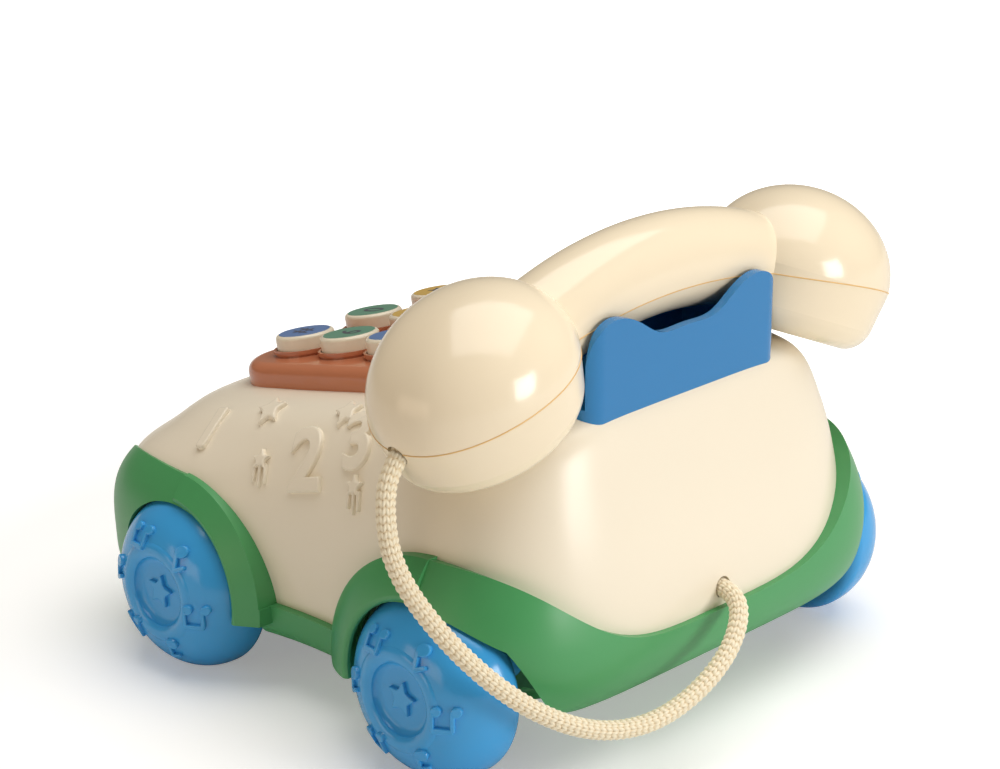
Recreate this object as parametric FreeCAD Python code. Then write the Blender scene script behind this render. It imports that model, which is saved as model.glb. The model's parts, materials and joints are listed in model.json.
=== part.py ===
import FreeCAD
import Part
import math
import os

from FreeCAD import Placement, Rotation, Vector

# Toy telephone on wheels, piece by piece, in millimetres.
# +X is the toy's left side, -Y its front with the keypad, +Z up, and Z = 0 is the floor.

# Driving dimensions: running gear
WHEEL_R = 26.5
AXLE_Z = 26.5
FRONT_AXLE_Y = -44.0
REAR_AXLE_Y = 56.0
AXLE_R = 2.0
AXLE_HALF = 80.0
WHEEL_IN = 52.0
WHEEL_OUT = 93.0
SLEEVE_R = 4.5
RUN_GAP = 0.06

# Driving dimensions: body and chassis
WALL = 2.5
FLOOR_Z = 12.0
FLOOR_TOP = 15.0
SILL_Z = 28.0
FRONT_ARCH_R = 33.0
REAR_ARCH_R = 36.6
BUMPER_Z = 35.0
NOSE_Z = 39.0
RING_POINTS = 48
RING_START = -math.pi / 2
LOFT_DEGREE = 3
KEY_SLOPE = 0.214
SEAT_EASE_Y = 28.0
SEAT_EASE_LENGTH = 16.0
SWELL_OUTWARD = 42.0
SWELL_INWARD = 25.0
SWELL_POWER = 4
FRONT_FENDER = 0.65
FLOOR_FADE = 16.0
SKIRT_EDGE_X = 82.0
SKIRT_STEPS = 16
TOP_Z = 86.45

# One row per level of the body: height on the centre line, slope towards the rear,
# half width, front, rear, swell over the wheels, squareness of the front and rear corners
LEVELS = (
    (12.0, 0.000, 57.0, -68.0, 66.0, 0.0, 5.0, 4.6),
    (17.0, 0.000, 70.0, -82.0, 78.0, 4.0, 6.5, 4.8),
    (22.0, 0.000, 73.0, -88.5, 86.0, 6.5, 7.0, 4.8),
    (36.0, 0.000, 75.0, -90.8, 90.2, 7.0, 7.0, 4.8),
    (50.0, 0.020, 75.5, -91.0, 88.8, 6.5, 7.0, 4.8),
    (62.0, 0.070, 74.0, -87.5, 85.6, 5.0, 6.5, 5.0),
    (72.0, 0.130, 70.5, -81.5, 82.2, 2.4, 5.8, 5.4),
    (80.0, 0.180, 65.2, -77.2, 79.2, 1.0, 5.4, 6.0),
    (85.0, 0.207, 57.6, -71.6, 75.6, 0.0, 5.3, 6.0),
    (TOP_Z, KEY_SLOPE, 49.6, -65.0, 70.0, 0.0, 5.2, 5.6),
    (TOP_Z + 0.5, KEY_SLOPE, 26.0, -36.0, 22.0, 0.0, 4.6, 4.6),
)
# The chassis on each of those levels: how far it stands proud of the body, the further
# swell of its fenders and the squareness of its front and rear corners
SKIRTS = (
    (1.0, 0.0, 6.0, 4.6),
    (2.0, 3.0, 8.0, 5.4),
    (2.6, 4.6, 9.5, 6.2),
    (1.8, 5.0, 9.0, 6.6),
    (0.9, 4.6, 8.0, 6.4),
    (0.7, 1.0, 6.5, 5.6),
    (0.7, 0.0, 5.8, 5.4),
    (0.7, 0.0, 5.2, 6.0),
    (0.7, 0.0, 4.8, 6.0),
    (0.7, 0.0, 4.6, 5.6),
    (0.7, 0.0, 4.6, 4.6),
)

# Driving dimensions: handset and cradle
HANDSET_Y = 59.6
HANDLE_R = 12.3
HANDLE_H = 13.9
HANDLE_Z = 126.4
SPINE_R = 128.4
SEAM_R = 205.0
SEAM_Z = 121.8
CUP_X = 66.8
CUP_Z = 110.2
CUP_TILT = 23.0
CUP_R = 31.0
CUP_DEPTH_RATIO = 0.85
DOME_H = 24.8
CUP_DROP = 18.4
CUP_FOOT_R = 27.5
CUP_EDGE = 6.5
HANDSET_WALL = 2.4
CRADLE_HALF = 40.0
CRADLE_TOP_HALF = 37.5
CRADLE_REACH = 16.0
CRADLE_WALL = 2.6
CRADLE_BASE_Z = 93.0
CRADLE_FLOOR_Z = 98.0
CRADLE_HORN_Z = 121.5
CRADLE_DIP_Z = 113.5

# Driving dimensions: keypad, in its own sloping frame (u across, v up the slope, n out)
PANEL_HALF = 46.0
PANEL_FRONT = -66.5
PANEL_REAR = 26.5
PANEL_CORNER = 18.0
PANEL_RISE = 6.8
PANEL_SEAT = -4.0
PANEL_ROUND = 3.4
PANEL_SKIN = 2.4
KEY_COLUMNS = (-28.0, 0.0, 28.0)
KEY_TOP_ROW = 12.0
KEY_PITCH = 20.0
KEY_R = 8.8
KEY_TOP = 12.8
COLLAR_R = 9.95
COLLAR_RISE = 1.8
WINDOW_HALF = 37.0
WINDOW_FRONT = -58.5
WINDOW_REAR = 22.5
BOARD_TOP = -2.2
BOARD_THICK = 1.6
POST_U = 14.0
POST_ROWS = (0.5, 2.5)

# Driving dimensions: cord, from the knot in the handset to the knot in the body
CORD_R = 2.75
CORD_HOLE_R = 3.1
KNOT_R = 5.0
CORD_POINTS = (
    (89.0, 59.0, 101.0),
    (97.5, 59.6, 95.0),
    (101.2, 61.2, 85.0),
    (102.0, 64.6, 71.5),
    (98.6, 73.0, 58.0),
    (90.0, 84.0, 42.6),
    (77.5, 92.4, 29.8),
    (61.5, 98.2, 20.6),
    (44.0, 101.8, 17.6),
    (27.5, 103.6, 21.2),
    (12.5, 103.4, 29.0),
    (2.5, 99.0, 37.5),
    (0.0, 91.0, 40.5),
    (0.3, 84.5, 40.0),
)

X_AXIS = Vector(1, 0, 0)
Y_AXIS = Vector(0, 1, 0)
Z_AXIS = Vector(0, 0, 1)
WHEEL_YS = (FRONT_AXLE_Y, REAR_AXLE_Y)
SIDES = (1, -1)
REACH = 150.0


# General shapes
def rod(radius, start, axis, length):
    return Part.makeCylinder(radius, length, start, axis)


def block(x0, x1, y0, y1, z0, z1):
    return Part.makeBox(x1 - x0, y1 - y0, z1 - z0, Vector(x0, y0, z0))


def rounded_block(x0, x1, y0, y1, z0, z1, corner):
    solid = block(x0, x1, y0, y1, z0, z1)
    upright = [e for e in solid.Edges if abs(e.tangentAt(e.FirstParameter).z) > 0.99]
    return solid.makeFillet(corner, upright)


def turned(profile, base, axis):
    """Solid of revolution of a closed outline about an axis."""
    return Part.Face(profile).revolve(base, axis, 360)


def outline(points):
    return Part.makePolygon(points + points[:1])


# The body's form: rounded rings, level above level, that tilt with the keypad
def seat_ease(y):
    """Distance up the slope, which levels out under the cradle."""
    if y <= SEAT_EASE_Y:
        return y
    return SEAT_EASE_Y + SEAT_EASE_LENGTH * math.tanh((y - SEAT_EASE_Y) / SEAT_EASE_LENGTH)


def swell_at(y, front_share):
    """Swell of the sides over the wheels, wide towards the ends and short between them."""
    swell = 0.0
    for wheel_y, share in zip(WHEEL_YS, (front_share, 1.0)):
        outward = (y - wheel_y) * wheel_y > 0
        spread = SWELL_OUTWARD if outward else SWELL_INWARD
        swell = max(swell, share * math.exp(-((y - wheel_y) / spread) ** 2))
    return swell


def ring(level, grow, z_shift, fender, powers):
    height, slope, half, front, rear, swell = level[:6]
    half += grow
    middle = (front + rear) / 2
    reach = (rear - front) / 2 + grow
    points = []
    for i in range(RING_POINTS):
        turn = RING_START + 2 * math.pi * i / RING_POINTS
        power = powers[0] if math.sin(turn) < 0 else powers[1]
        across = abs(math.cos(turn)) / half
        along = abs(math.sin(turn)) / reach
        radius = (across ** power + along ** power) ** (-1 / power)
        x = radius * math.cos(turn)
        y = middle + radius * math.sin(turn)
        bulge = swell * swell_at(y, 1.0) + fender * swell_at(y, FRONT_FENDER)
        x += math.copysign(bulge * (abs(x) / half) ** SWELL_POWER, x)
        points.append(Vector(x, y, height + z_shift + slope * seat_ease(y)))
    curve = Part.BSplineCurve()
    curve.interpolate(Points=points, PeriodicFlag=True, Parameters=list(range(RING_POINTS + 1)))
    return Part.Wire(curve.toShape())


def stacked(rings):
    return Part.makeLoft(rings, True, False, False, LOFT_DEGREE)


def body_form(grow):
    """Outer form of the body, or its hollow where grow is negative."""
    last = len(LEVELS) - 1
    rings = []
    for i, level in enumerate(LEVELS):
        z_shift = grow * (i / last) ** 2
        if grow < 0:
            fade = max(0.0, 1 - (level[0] - FLOOR_Z) / FLOOR_FADE)
            z_shift += (FLOOR_TOP - FLOOR_Z) * fade
        rings.append(ring(level, grow, z_shift, 0.0, level[6:]))
    return stacked(rings)


def chassis_form(extra):
    return stacked([ring(level, skirt[0] + extra, 0.0, skirt[1], skirt[2:])
                    for level, skirt in zip(LEVELS, SKIRTS)])


def skirt_prism(low_z, arch_r, start_y, end_y):
    """Everything under the U-shaped edge across the nose or the tail."""
    top = []
    for i in range(-SKIRT_STEPS, SKIRT_STEPS + 1):
        share = i / SKIRT_STEPS
        rise = (AXLE_Z + arch_r - low_z) * math.sin(math.pi / 2 * share ** 2) ** 2
        top.append(Vector(SKIRT_EDGE_X * share, start_y, low_z + rise))
    curve = Part.BSplineCurve()
    curve.interpolate(top)
    left = top[0]
    right = top[-1]
    corners = [
        right,
        Vector(REACH, start_y, right.z),
        Vector(REACH, start_y, 0),
        Vector(-REACH, start_y, 0),
        Vector(-REACH, start_y, left.z),
        left,
    ]
    edges = [curve.toShape()]
    edges += [Part.LineSegment(a, b).toShape() for a, b in zip(corners, corners[1:])]
    face = Part.Face(Part.Wire(Part.__sortEdges__(edges)))
    return face.extrude(Vector(0, end_y - start_y, 0))


def green_zone():
    """The part of the form that belongs to the chassis: sills, arches and bumpers."""
    sill = block(-REACH, REACH, -REACH, REACH, 0, SILL_Z)
    front = rod(FRONT_ARCH_R, Vector(-REACH, FRONT_AXLE_Y, AXLE_Z), X_AXIS, 2 * REACH)
    front = front.common(block(-REACH, REACH, FRONT_AXLE_Y, REACH, 0, REACH))
    rear = rod(REAR_ARCH_R, Vector(-REACH, REAR_AXLE_Y, AXLE_Z), X_AXIS, 2 * REACH)
    rear = rear.common(block(-REACH, REACH, -REACH, REAR_AXLE_Y, 0, REACH))
    nose = skirt_prism(NOSE_Z, FRONT_ARCH_R, FRONT_AXLE_Y, -REACH)
    tail = skirt_prism(BUMPER_Z, REAR_ARCH_R, REAR_AXLE_Y, REACH)
    return sill.fuse([front, rear, nose, tail])


# Fasteners
SCREW_R = 1.5
SCREW_HEAD_R = 3.0
SCREW_HEAD_H = 2.2
SLOT_HALF = 1.8
SLOT_WIDTH = 0.8
SLOT_DEPTH = 1.0


def screw(head_at, axis, length):
    """Pan-head screw with a cross slot, its head's underside at head_at."""
    shank = rod(SCREW_R, head_at, axis, length)
    head = rod(SCREW_HEAD_R, head_at - axis * SCREW_HEAD_H, axis, SCREW_HEAD_H)
    solid = shank.fuse(head)
    slot_low = Vector(-SLOT_HALF, -SLOT_WIDTH / 2, -SCREW_HEAD_H)
    for turn in (0, 90):
        slot = Part.makeBox(2 * SLOT_HALF, SLOT_WIDTH, SLOT_DEPTH, slot_low)
        slot.rotate(Vector(0, 0, 0), Z_AXIS, turn)
        slot.Placement = Placement(head_at, Rotation(Z_AXIS, axis)).multiply(slot.Placement)
        solid = solid.cut(slot)
    return solid


# Chassis, with wheel wells, arch lips, bosses, battery tray and switch slot
WELL_R = 29.5
WELL_IN = 47.5
WELL_WALL = 2.0
LIP_R = 25.2
TIP_Z = 22.5
LIP_TURN = 1.4
LIP_EDGE = 2.0
LIP_SPLAY = 3.0
ARCH_X = 80.4
ARCH_ROOT_X = 58.0
ARCH_PROUD = 0.3
BROW_IN = 2.1
THROAT = ((76.5, 29.5), (81.5, 26.9))
# Each pair of arches: axle, radius of the edge against the body, reach of the lip
ARCHES = ((FRONT_AXLE_Y, FRONT_ARCH_R, 84.9), (REAR_AXLE_Y, REAR_ARCH_R, 86.3))
WELL_LENGTH = 38.0
BEARING_X = 40.0
BEARING_LENGTH = 9.0
CHASSIS_SCREWS = ((30.0, -70.0), (-30.0, -70.0), (30.0, 73.0), (-30.0, 73.0))
CHASSIS_SCREW_LENGTH = 16.0
BOSS_R = 5.0
BOSS_TOP = 20.0
SCREW_SEAT_Z = 16.0
TRAY_X = 30.0
TRAY_Y = (-8.0, 26.0)
TRAY_TOP = 31.0
TRAY_WALL = 2.0
COVER_EDGE = 2.0
COVER_THICK = 2.0
COVER_SCREW_Y = 32.0
COVER_BOSS_R = 3.5
COVER_BOSS_H = 9.0
COVER_CORNER = 4.0
COVER_LUG = 4.5
COVER_GAP = 0.2
COVER_SCREW_LENGTH = 8.0
HEAD_GAP = 0.4
SPEAKER_Y = -25.0
SPEAKER_R = 13.5
SWITCH_Y = 44.0
SLOT_X = 8.0
SLOT_Y = 2.5
GRILLE = ((0.0, 1), (4.5, 6), (9.0, 10))
GRILLE_HOLE_R = 1.1


def arch_profile(arch_r, lip_x, side, wheel_y):
    """Section of an arch lip: a rounded eyelid that stands out over the wheel."""
    def at(x, r):
        return Vector(side * x, wheel_y, AXLE_Z + r)
    crest = at(ARCH_X, arch_r + ARCH_PROUD)
    lip_top = at(lip_x, LIP_R + LIP_EDGE)
    lip_under = at(lip_x - LIP_TURN, LIP_R)
    brow = Part.Arc(crest, at(lip_x - BROW_IN, (arch_r + LIP_R + LIP_EDGE) / 2), lip_top)
    nose = Part.Arc(lip_top, at(lip_x - LIP_TURN / 5, LIP_R + LIP_EDGE / 3), lip_under)
    edges = [brow.toShape(), nose.toShape()]
    corners = [lip_under, at(ARCH_X, WELL_R), at(ARCH_ROOT_X, WELL_R), at(ARCH_ROOT_X, arch_r + ARCH_PROUD),
               crest]
    edges += [Part.LineSegment(a, b).toShape() for a, b in zip(corners, corners[1:])]
    return Part.Wire(edges)


def arch_lip(arch_r, lip_x, side, wheel_y):
    """A lip between the wheels that stands free at its foot and runs into the fender over the axle."""
    lip = turned(arch_profile(arch_r, lip_x, side, wheel_y), Vector(0, wheel_y, AXLE_Z), X_AXIS)
    lip.rotate(Vector(side * ARCH_X, wheel_y, AXLE_Z), Z_AXIS, math.copysign(LIP_SPLAY, side * wheel_y))
    return lip.common(block(-REACH, REACH, min(0, wheel_y), max(0, wheel_y), TIP_Z, REACH))


def well_cutter(lip_x, side, wheel_y):
    def at(x, r):
        return Vector(side * x, wheel_y, AXLE_Z + r)
    corners = [at(WELL_IN, 0), at(WELL_IN, WELL_R)]
    corners += [at(x, r) for x, r in THROAT]
    corners += [at(lip_x - LIP_TURN, LIP_R), at(REACH, LIP_R), at(REACH, 0)]
    return turned(outline(corners), Vector(0, wheel_y, AXLE_Z), X_AXIS)


def chassis(zone, hollow):
    form_core = chassis_form(-WALL / 2)
    wells = []
    lips = []
    well_cuts = []
    cutters = []
    for wheel_y, arch_r, lip_x in ARCHES:
        for side in SIDES:
            start = Vector(side * (WELL_IN - WELL_WALL), wheel_y, AXLE_Z)
            wells.append(rod(WELL_R + WELL_WALL, start, X_AXIS * side, WELL_LENGTH).common(form_core))
            lips.append(arch_lip(arch_r, lip_x, side, wheel_y))
            well_cuts.append(well_cutter(lip_x, side, wheel_y))
            bore = Vector(side * BEARING_X, wheel_y, AXLE_Z)
            cutters.append(rod(SLEEVE_R, bore, X_AXIS * side, BEARING_LENGTH))
    solid = chassis_form(0)
    for lip in lips:
        solid = solid.fuse(lip)
    solid = solid.common(zone).cut(hollow)
    for well in wells:
        solid = solid.fuse(well)
    for cutter in well_cuts:
        solid = solid.cut(cutter)
    bosses = [rod(BOSS_R, Vector(x, y, FLOOR_TOP - 1), Z_AXIS, BOSS_TOP - FLOOR_TOP + 1)
              for x, y in CHASSIS_SCREWS]
    tray = block(-TRAY_X, TRAY_X, TRAY_Y[0], TRAY_Y[1], FLOOR_Z, TRAY_TOP)
    cover_boss = rod(COVER_BOSS_R, Vector(0, COVER_SCREW_Y, FLOOR_TOP - 1), Z_AXIS, COVER_BOSS_H)
    solid = solid.fuse(bosses + [tray, cover_boss])
    for x, y in CHASSIS_SCREWS:
        sink = rod(SCREW_HEAD_R + HEAD_GAP, Vector(x, y, SCREW_SEAT_Z), -Z_AXIS, SCREW_SEAT_Z)
        cutters.append(sink)
        cutters.append(rod(SCREW_R, Vector(x, y, FLOOR_Z), Z_AXIS, BOSS_TOP))
    inner_x = TRAY_X - TRAY_WALL
    cutters.append(block(-inner_x, inner_x, TRAY_Y[0] + TRAY_WALL, TRAY_Y[1] - TRAY_WALL,
                         FLOOR_Z - 1, TRAY_TOP - TRAY_WALL))
    cutters.append(cover_plate(COVER_GAP, FLOOR_Z - 1))
    cutters.append(rod(SCREW_R, Vector(0, COVER_SCREW_Y, FLOOR_Z), Z_AXIS, COVER_BOSS_H))
    cutters.append(block(-SLOT_X, SLOT_X, SWITCH_Y - SLOT_Y, SWITCH_Y + SLOT_Y, FLOOR_Z - 1, FLOOR_TOP + 1))
    return solid.cut(cutters + speaker_holes())


def speaker_holes():
    holes = []
    for radius, count in GRILLE:
        for i in range(count):
            turn = 2 * math.pi * i / count
            spot = Vector(radius * math.cos(turn), SPEAKER_Y + radius * math.sin(turn), FLOOR_Z - 1)
            holes.append(rod(GRILLE_HOLE_R, spot, Z_AXIS, FLOOR_TOP - FLOOR_Z + 2))
    return holes


def cover_plate(grow, low_z):
    x = TRAY_X + COVER_EDGE + grow
    return rounded_block(-x, x, TRAY_Y[0] - COVER_EDGE - grow, COVER_SCREW_Y + COVER_LUG + grow,
                         low_z, FLOOR_Z + COVER_THICK, COVER_CORNER)


def battery_cover():
    plate = cover_plate(0, FLOOR_Z)
    recess = rod(SCREW_HEAD_R + COVER_GAP, Vector(0, COVER_SCREW_Y, FLOOR_Z - 1), Z_AXIS, COVER_THICK / 2 + 1)
    hole = rod(SCREW_R, Vector(0, COVER_SCREW_Y, FLOOR_Z), Z_AXIS, COVER_THICK)
    return plate.cut([recess, hole])


def cover_screw():
    whole = screw(Vector(0, COVER_SCREW_Y, FLOOR_Z + COVER_THICK / 2), Z_AXIS, COVER_SCREW_LENGTH)
    return whole.common(block(-REACH, REACH, -REACH, REACH, FLOOR_Z, REACH))


# Power supply, sound and switch
CELL_R = 7.0
CELL_HALF = 24.6
CELL_Z = 21.6
CELL_YS = (1.5, 16.5)
CELL_CAP_R = 2.7
CELL_CAP_H = 1.6
CONTACT_HALF = 5.2
CONTACT_THICK = 0.6
MAGNET_R = 7.0
SPEAKER_RIM_H = 2.5
BASKET_H = 4.0
CONE_DEPTH = 3.0
SLIDER_GAP = 0.4
SLIDER_PLATE = (6.5, 4.5, 2.0)
SLIDER_KNOB = (4.5, 2.1)
SLIDER_GRIPS = (-2.4, -0.8, 0.8, 2.4)
GRIP_HALF = 0.3


def batteries():
    cells = []
    for i, y in enumerate(CELL_YS):
        way = 1 if i == 0 else -1
        can = rod(CELL_R, Vector(-way * CELL_HALF, y, CELL_Z), X_AXIS * way, 2 * CELL_HALF)
        cap = rod(CELL_CAP_R, Vector(way * CELL_HALF, y, CELL_Z), X_AXIS * way, CELL_CAP_H)
        cells.append(can.fuse(cap))
    return Part.makeCompound(cells)


def battery_contacts():
    plates = []
    for side in SIDES:
        for y in CELL_YS:
            outer = side * (TRAY_X - TRAY_WALL)
            inner = outer - side * CONTACT_THICK
            plates.append(block(min(inner, outer), max(inner, outer), y - CONTACT_HALF, y + CONTACT_HALF,
                                CELL_Z - CONTACT_HALF, CELL_Z + CONTACT_HALF))
    return Part.makeCompound(plates)


def speaker():
    low = Vector(0, SPEAKER_Y, FLOOR_TOP)
    frame = rod(SPEAKER_R, low, Z_AXIS, SPEAKER_RIM_H)
    basket = Part.makeCone(SPEAKER_R - 1.5, MAGNET_R, BASKET_H, low + Z_AXIS * SPEAKER_RIM_H, Z_AXIS)
    magnet = rod(MAGNET_R, low + Z_AXIS * (SPEAKER_RIM_H + BASKET_H), Z_AXIS, BASKET_H)
    mouth = Part.makeCone(SPEAKER_R - 2.0, CONE_DEPTH, CONE_DEPTH, low, Z_AXIS)
    return frame.fuse([basket, magnet]).cut(mouth).removeSplitter()


def power_switch():
    plate_x, plate_y, plate_h = SLIDER_PLATE
    knob_x, knob_y = SLIDER_KNOB
    plate_z = FLOOR_TOP + SLIDER_GAP
    plate = block(-plate_x, plate_x, SWITCH_Y - plate_y, SWITCH_Y + plate_y, plate_z, plate_z + plate_h)
    knob = rounded_block(-knob_x, knob_x, SWITCH_Y - knob_y, SWITCH_Y + knob_y,
                         FLOOR_Z + SLIDER_GAP, plate_z + plate_h / 2, 1.0)
    grips = [block(x - GRIP_HALF, x + GRIP_HALF, SWITCH_Y - plate_y, SWITCH_Y + plate_y,
                   FLOOR_Z, FLOOR_Z + 0.9) for x in SLIDER_GRIPS]
    return plate.fuse(knob).cut(grips)


def chassis_screws():
    return Part.makeCompound([screw(Vector(x, y, SCREW_SEAT_Z), Z_AXIS, CHASSIS_SCREW_LENGTH)
                              for x, y in CHASSIS_SCREWS])


# Running gear
SLEEVE_IN = 41.0
FLANGE_IN = 43.5
FLANGE_R = 6.5
DISH_X = 90.3
DISH_R = 8.0
BRIM_X = 92.1
BRIM_R = (15.0, 12.2, 10.4)
TREAD_END = 76.0
HUB_R = 7.0
WEB_X = 84.0
RIM_X = 71.0
RIM_IN_R = 22.5
HEEL = 4.0


def axle(wheel_y):
    bar = rod(AXLE_R, Vector(-AXLE_HALF, wheel_y, AXLE_Z), X_AXIS, 2 * AXLE_HALF)
    ends = [e for e in bar.Edges if e.Closed and abs(abs(e.CenterOfMass.x) - AXLE_HALF) < 0.1]
    return bar.makeChamfer(0.5, ends)


def axle_sleeves(wheel_y):
    sleeves = []
    for side in SIDES:
        inner = Vector(side * SLEEVE_IN, wheel_y, AXLE_Z)
        flange = Vector(side * FLANGE_IN, wheel_y, AXLE_Z)
        tube = rod(SLEEVE_R, inner, X_AXIS * side, WELL_IN + 1.0 - SLEEVE_IN)
        tube = tube.fuse(rod(FLANGE_R, flange, X_AXIS * side, WELL_IN - WELL_WALL - FLANGE_IN))
        sleeves.append(tube.cut(rod(AXLE_R + RUN_GAP, inner, X_AXIS * side, WELL_IN)))
    return Part.makeCompound(sleeves)


def wheel(side, wheel_y):
    """Fat bun of a wheel: round shoulders, dished hub, hollow from behind."""
    def at(x, r):
        return Vector(side * x, wheel_y, AXLE_Z + r)
    brim_out, brim_top, brim_in = BRIM_R
    tread_in = RIM_X + HEEL
    heel_x = RIM_X + HEEL / 5
    heel = Part.Arc(at(heel_x, WHEEL_R - 3.0), at(RIM_X + 1.8, WHEEL_R - 0.9), at(tread_in, WHEEL_R))
    tread = Part.LineSegment(at(tread_in, WHEEL_R), at(TREAD_END, WHEEL_R))
    span = BRIM_X - TREAD_END
    fall = WHEEL_R - brim_out
    bend = (span ** 2 + fall ** 2) / (2 * fall)
    half_turn = math.atan2(span, bend - fall) / 2
    shoulder = Part.Arc(at(TREAD_END, WHEEL_R),
                        at(TREAD_END + bend * math.sin(half_turn), WHEEL_R - bend * (1 - math.cos(half_turn))),
                        at(BRIM_X, brim_out))
    brim = Part.Arc(at(BRIM_X, brim_out), at(WHEEL_OUT, brim_top), at(BRIM_X, brim_in))
    bowl = Part.Arc(at(BRIM_X, brim_in), at(DISH_X + 0.3, DISH_R + 1.3), at(DISH_X, DISH_R))
    corners = [
        at(DISH_X, DISH_R),
        at(DISH_X, 0),
        at(AXLE_HALF, 0),
        at(AXLE_HALF, AXLE_R),
        at(WHEEL_IN, AXLE_R),
        at(WHEEL_IN, HUB_R),
        at(WEB_X, HUB_R),
        at(WEB_X, RIM_IN_R - 2.5),
        at(WEB_X - 6.0, RIM_IN_R),
        at(heel_x, RIM_IN_R),
        at(heel_x, WHEEL_R - 3.0),
    ]
    edges = [heel.toShape(), tread.toShape(), shoulder.toShape(), brim.toShape(), bowl.toShape()]
    edges += [Part.LineSegment(a, b).toShape() for a, b in zip(corners, corners[1:])]
    return turned(Part.Wire(Part.__sortEdges__(edges)), Vector(0, wheel_y, AXLE_Z), X_AXIS)


# Keypad, modelled flat and then laid on the slope
KEY_TURN = math.degrees(math.atan(KEY_SLOPE))
KEY_PLACE = Placement(Vector(0, 0, TOP_Z), Rotation(X_AXIS, KEY_TURN))
PANEL_UNDER = PANEL_RISE - PANEL_SKIN
PEGS = ((40.4, -45.0), (-40.4, -45.0), (40.4, 6.0), (-40.4, 6.0))
PEG_R = 1.6
WINDOW_CORNER = 8.0
KEY_GAP = 0.3
KEY_ROUND = 1.1
KEY_FLANGE_R = 9.7
KEY_FLANGE_H = 1.8
KEY_STEM_R = 3.2
KEY_SINK = 0.6
COLLAR_STEP = 0.5
COLLAR_LIP_N = 0.7
BOARD_POST_R = 2.8
BOARD_SCREW_R = 1.2
BOARD_SCREW_HEAD = (2.5, 1.6)
BOARD_SCREW_LENGTH = 5.5
MAT_THICK = 0.8
MAT_POST_R = 4.0
MAT_EDGE = 0.8
HOLE_LENGTH = 20.0
CHIP_HALF = 5.0
CHIP_V = -18.0
CHIP_H = 1.8


def laid(solid):
    solid.Placement = KEY_PLACE.multiply(solid.Placement)
    return solid


def key_spots():
    """Names and places of the twelve keys, as read from the front, row by row from the cradle."""
    names = ("1", "2", "3", "4", "5", "6", "7", "8", "9", "star", "0", "hash")
    spots = []
    for i, name in enumerate(names):
        row, column = divmod(i, len(KEY_COLUMNS))
        spots.append((name, KEY_COLUMNS[column], KEY_TOP_ROW - KEY_PITCH * row))
    return spots


def board_posts():
    return [(u * POST_U, KEY_TOP_ROW - KEY_PITCH * row) for u in SIDES for row in POST_ROWS]


def window(grow, n0, n1):
    return rounded_block(-WINDOW_HALF - grow, WINDOW_HALF + grow, WINDOW_FRONT - grow,
                         WINDOW_REAR + grow, n0, n1, WINDOW_CORNER)


def panel_block(grow, n0, n1):
    return rounded_block(-PANEL_HALF - grow, PANEL_HALF + grow, PANEL_FRONT - grow, PANEL_REAR + grow,
                         n0, n1, PANEL_CORNER + grow)


def keypad_panel():
    shell = panel_block(0, PANEL_SEAT, PANEL_RISE)
    rim = [e for e in shell.Edges if e.BoundBox.ZMin > PANEL_RISE - 0.01]
    shell = shell.makeFillet(PANEL_ROUND, rim)
    shell = shell.cut(panel_block(-PANEL_SKIN, PANEL_SEAT - 1, PANEL_UNDER))
    collars = []
    holes = []
    for _, u, v in key_spots():
        neck_at = Vector(u, v, PANEL_RISE - 1)
        lip_at = Vector(u, v, PANEL_RISE + COLLAR_LIP_N)
        collars.append(rod(COLLAR_R - COLLAR_STEP, neck_at, Z_AXIS, COLLAR_RISE + COLLAR_STEP))
        collars.append(rod(COLLAR_R, lip_at, Z_AXIS, COLLAR_RISE - COLLAR_LIP_N))
        holes.append(rod(KEY_R + KEY_GAP, Vector(u, v, 0), Z_AXIS, HOLE_LENGTH))
    posts = [rod(BOARD_POST_R, Vector(u, v, BOARD_TOP), Z_AXIS, PANEL_UNDER - BOARD_TOP + 1)
             for u, v in board_posts()]
    pilots = [rod(BOARD_SCREW_R, Vector(u, v, BOARD_TOP), Z_AXIS, BOARD_SCREW_LENGTH)
              for u, v in board_posts()]
    pegs = [rod(PEG_R, Vector(u, v, PANEL_SEAT - WALL - 1), Z_AXIS, PANEL_UNDER - PANEL_SEAT + WALL + 2)
            for u, v in PEGS]
    return laid(shell.fuse(collars + posts + pegs).cut(holes + pilots).removeSplitter())


def key(u, v):
    """Key cap with a rounded top, held up by a flange and pressing down with a stem."""
    cap_low = PANEL_UNDER - KEY_SINK
    cap = rod(KEY_R, Vector(u, v, cap_low), Z_AXIS, KEY_TOP - cap_low)
    brim = [e for e in cap.Edges if e.Closed and e.CenterOfMass.z > KEY_TOP - 0.01]
    cap = cap.makeFillet(KEY_ROUND, brim)
    flange_low = PANEL_UNDER - KEY_FLANGE_H - HEAD_GAP
    flange = rod(KEY_FLANGE_R, Vector(u, v, flange_low), Z_AXIS, KEY_FLANGE_H)
    stem = rod(KEY_STEM_R, Vector(u, v, flange_low - 0.7), Z_AXIS, 1.0)
    return laid(cap.fuse([flange, stem]).removeSplitter())


def key_mat():
    sheet = window(-MAT_EDGE, BOARD_TOP, BOARD_TOP + MAT_THICK)
    post_n = BOARD_TOP + MAT_THICK / 2
    posts = [rod(MAT_POST_R, Vector(u, v, post_n), Z_AXIS, MAT_THICK) for _, u, v in key_spots()]
    holes = [rod(BOARD_POST_R + HEAD_GAP, Vector(u, v, -HOLE_LENGTH / 2), Z_AXIS, HOLE_LENGTH)
             for u, v in board_posts()]
    return laid(sheet.fuse(posts).cut(holes).removeSplitter())


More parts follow.
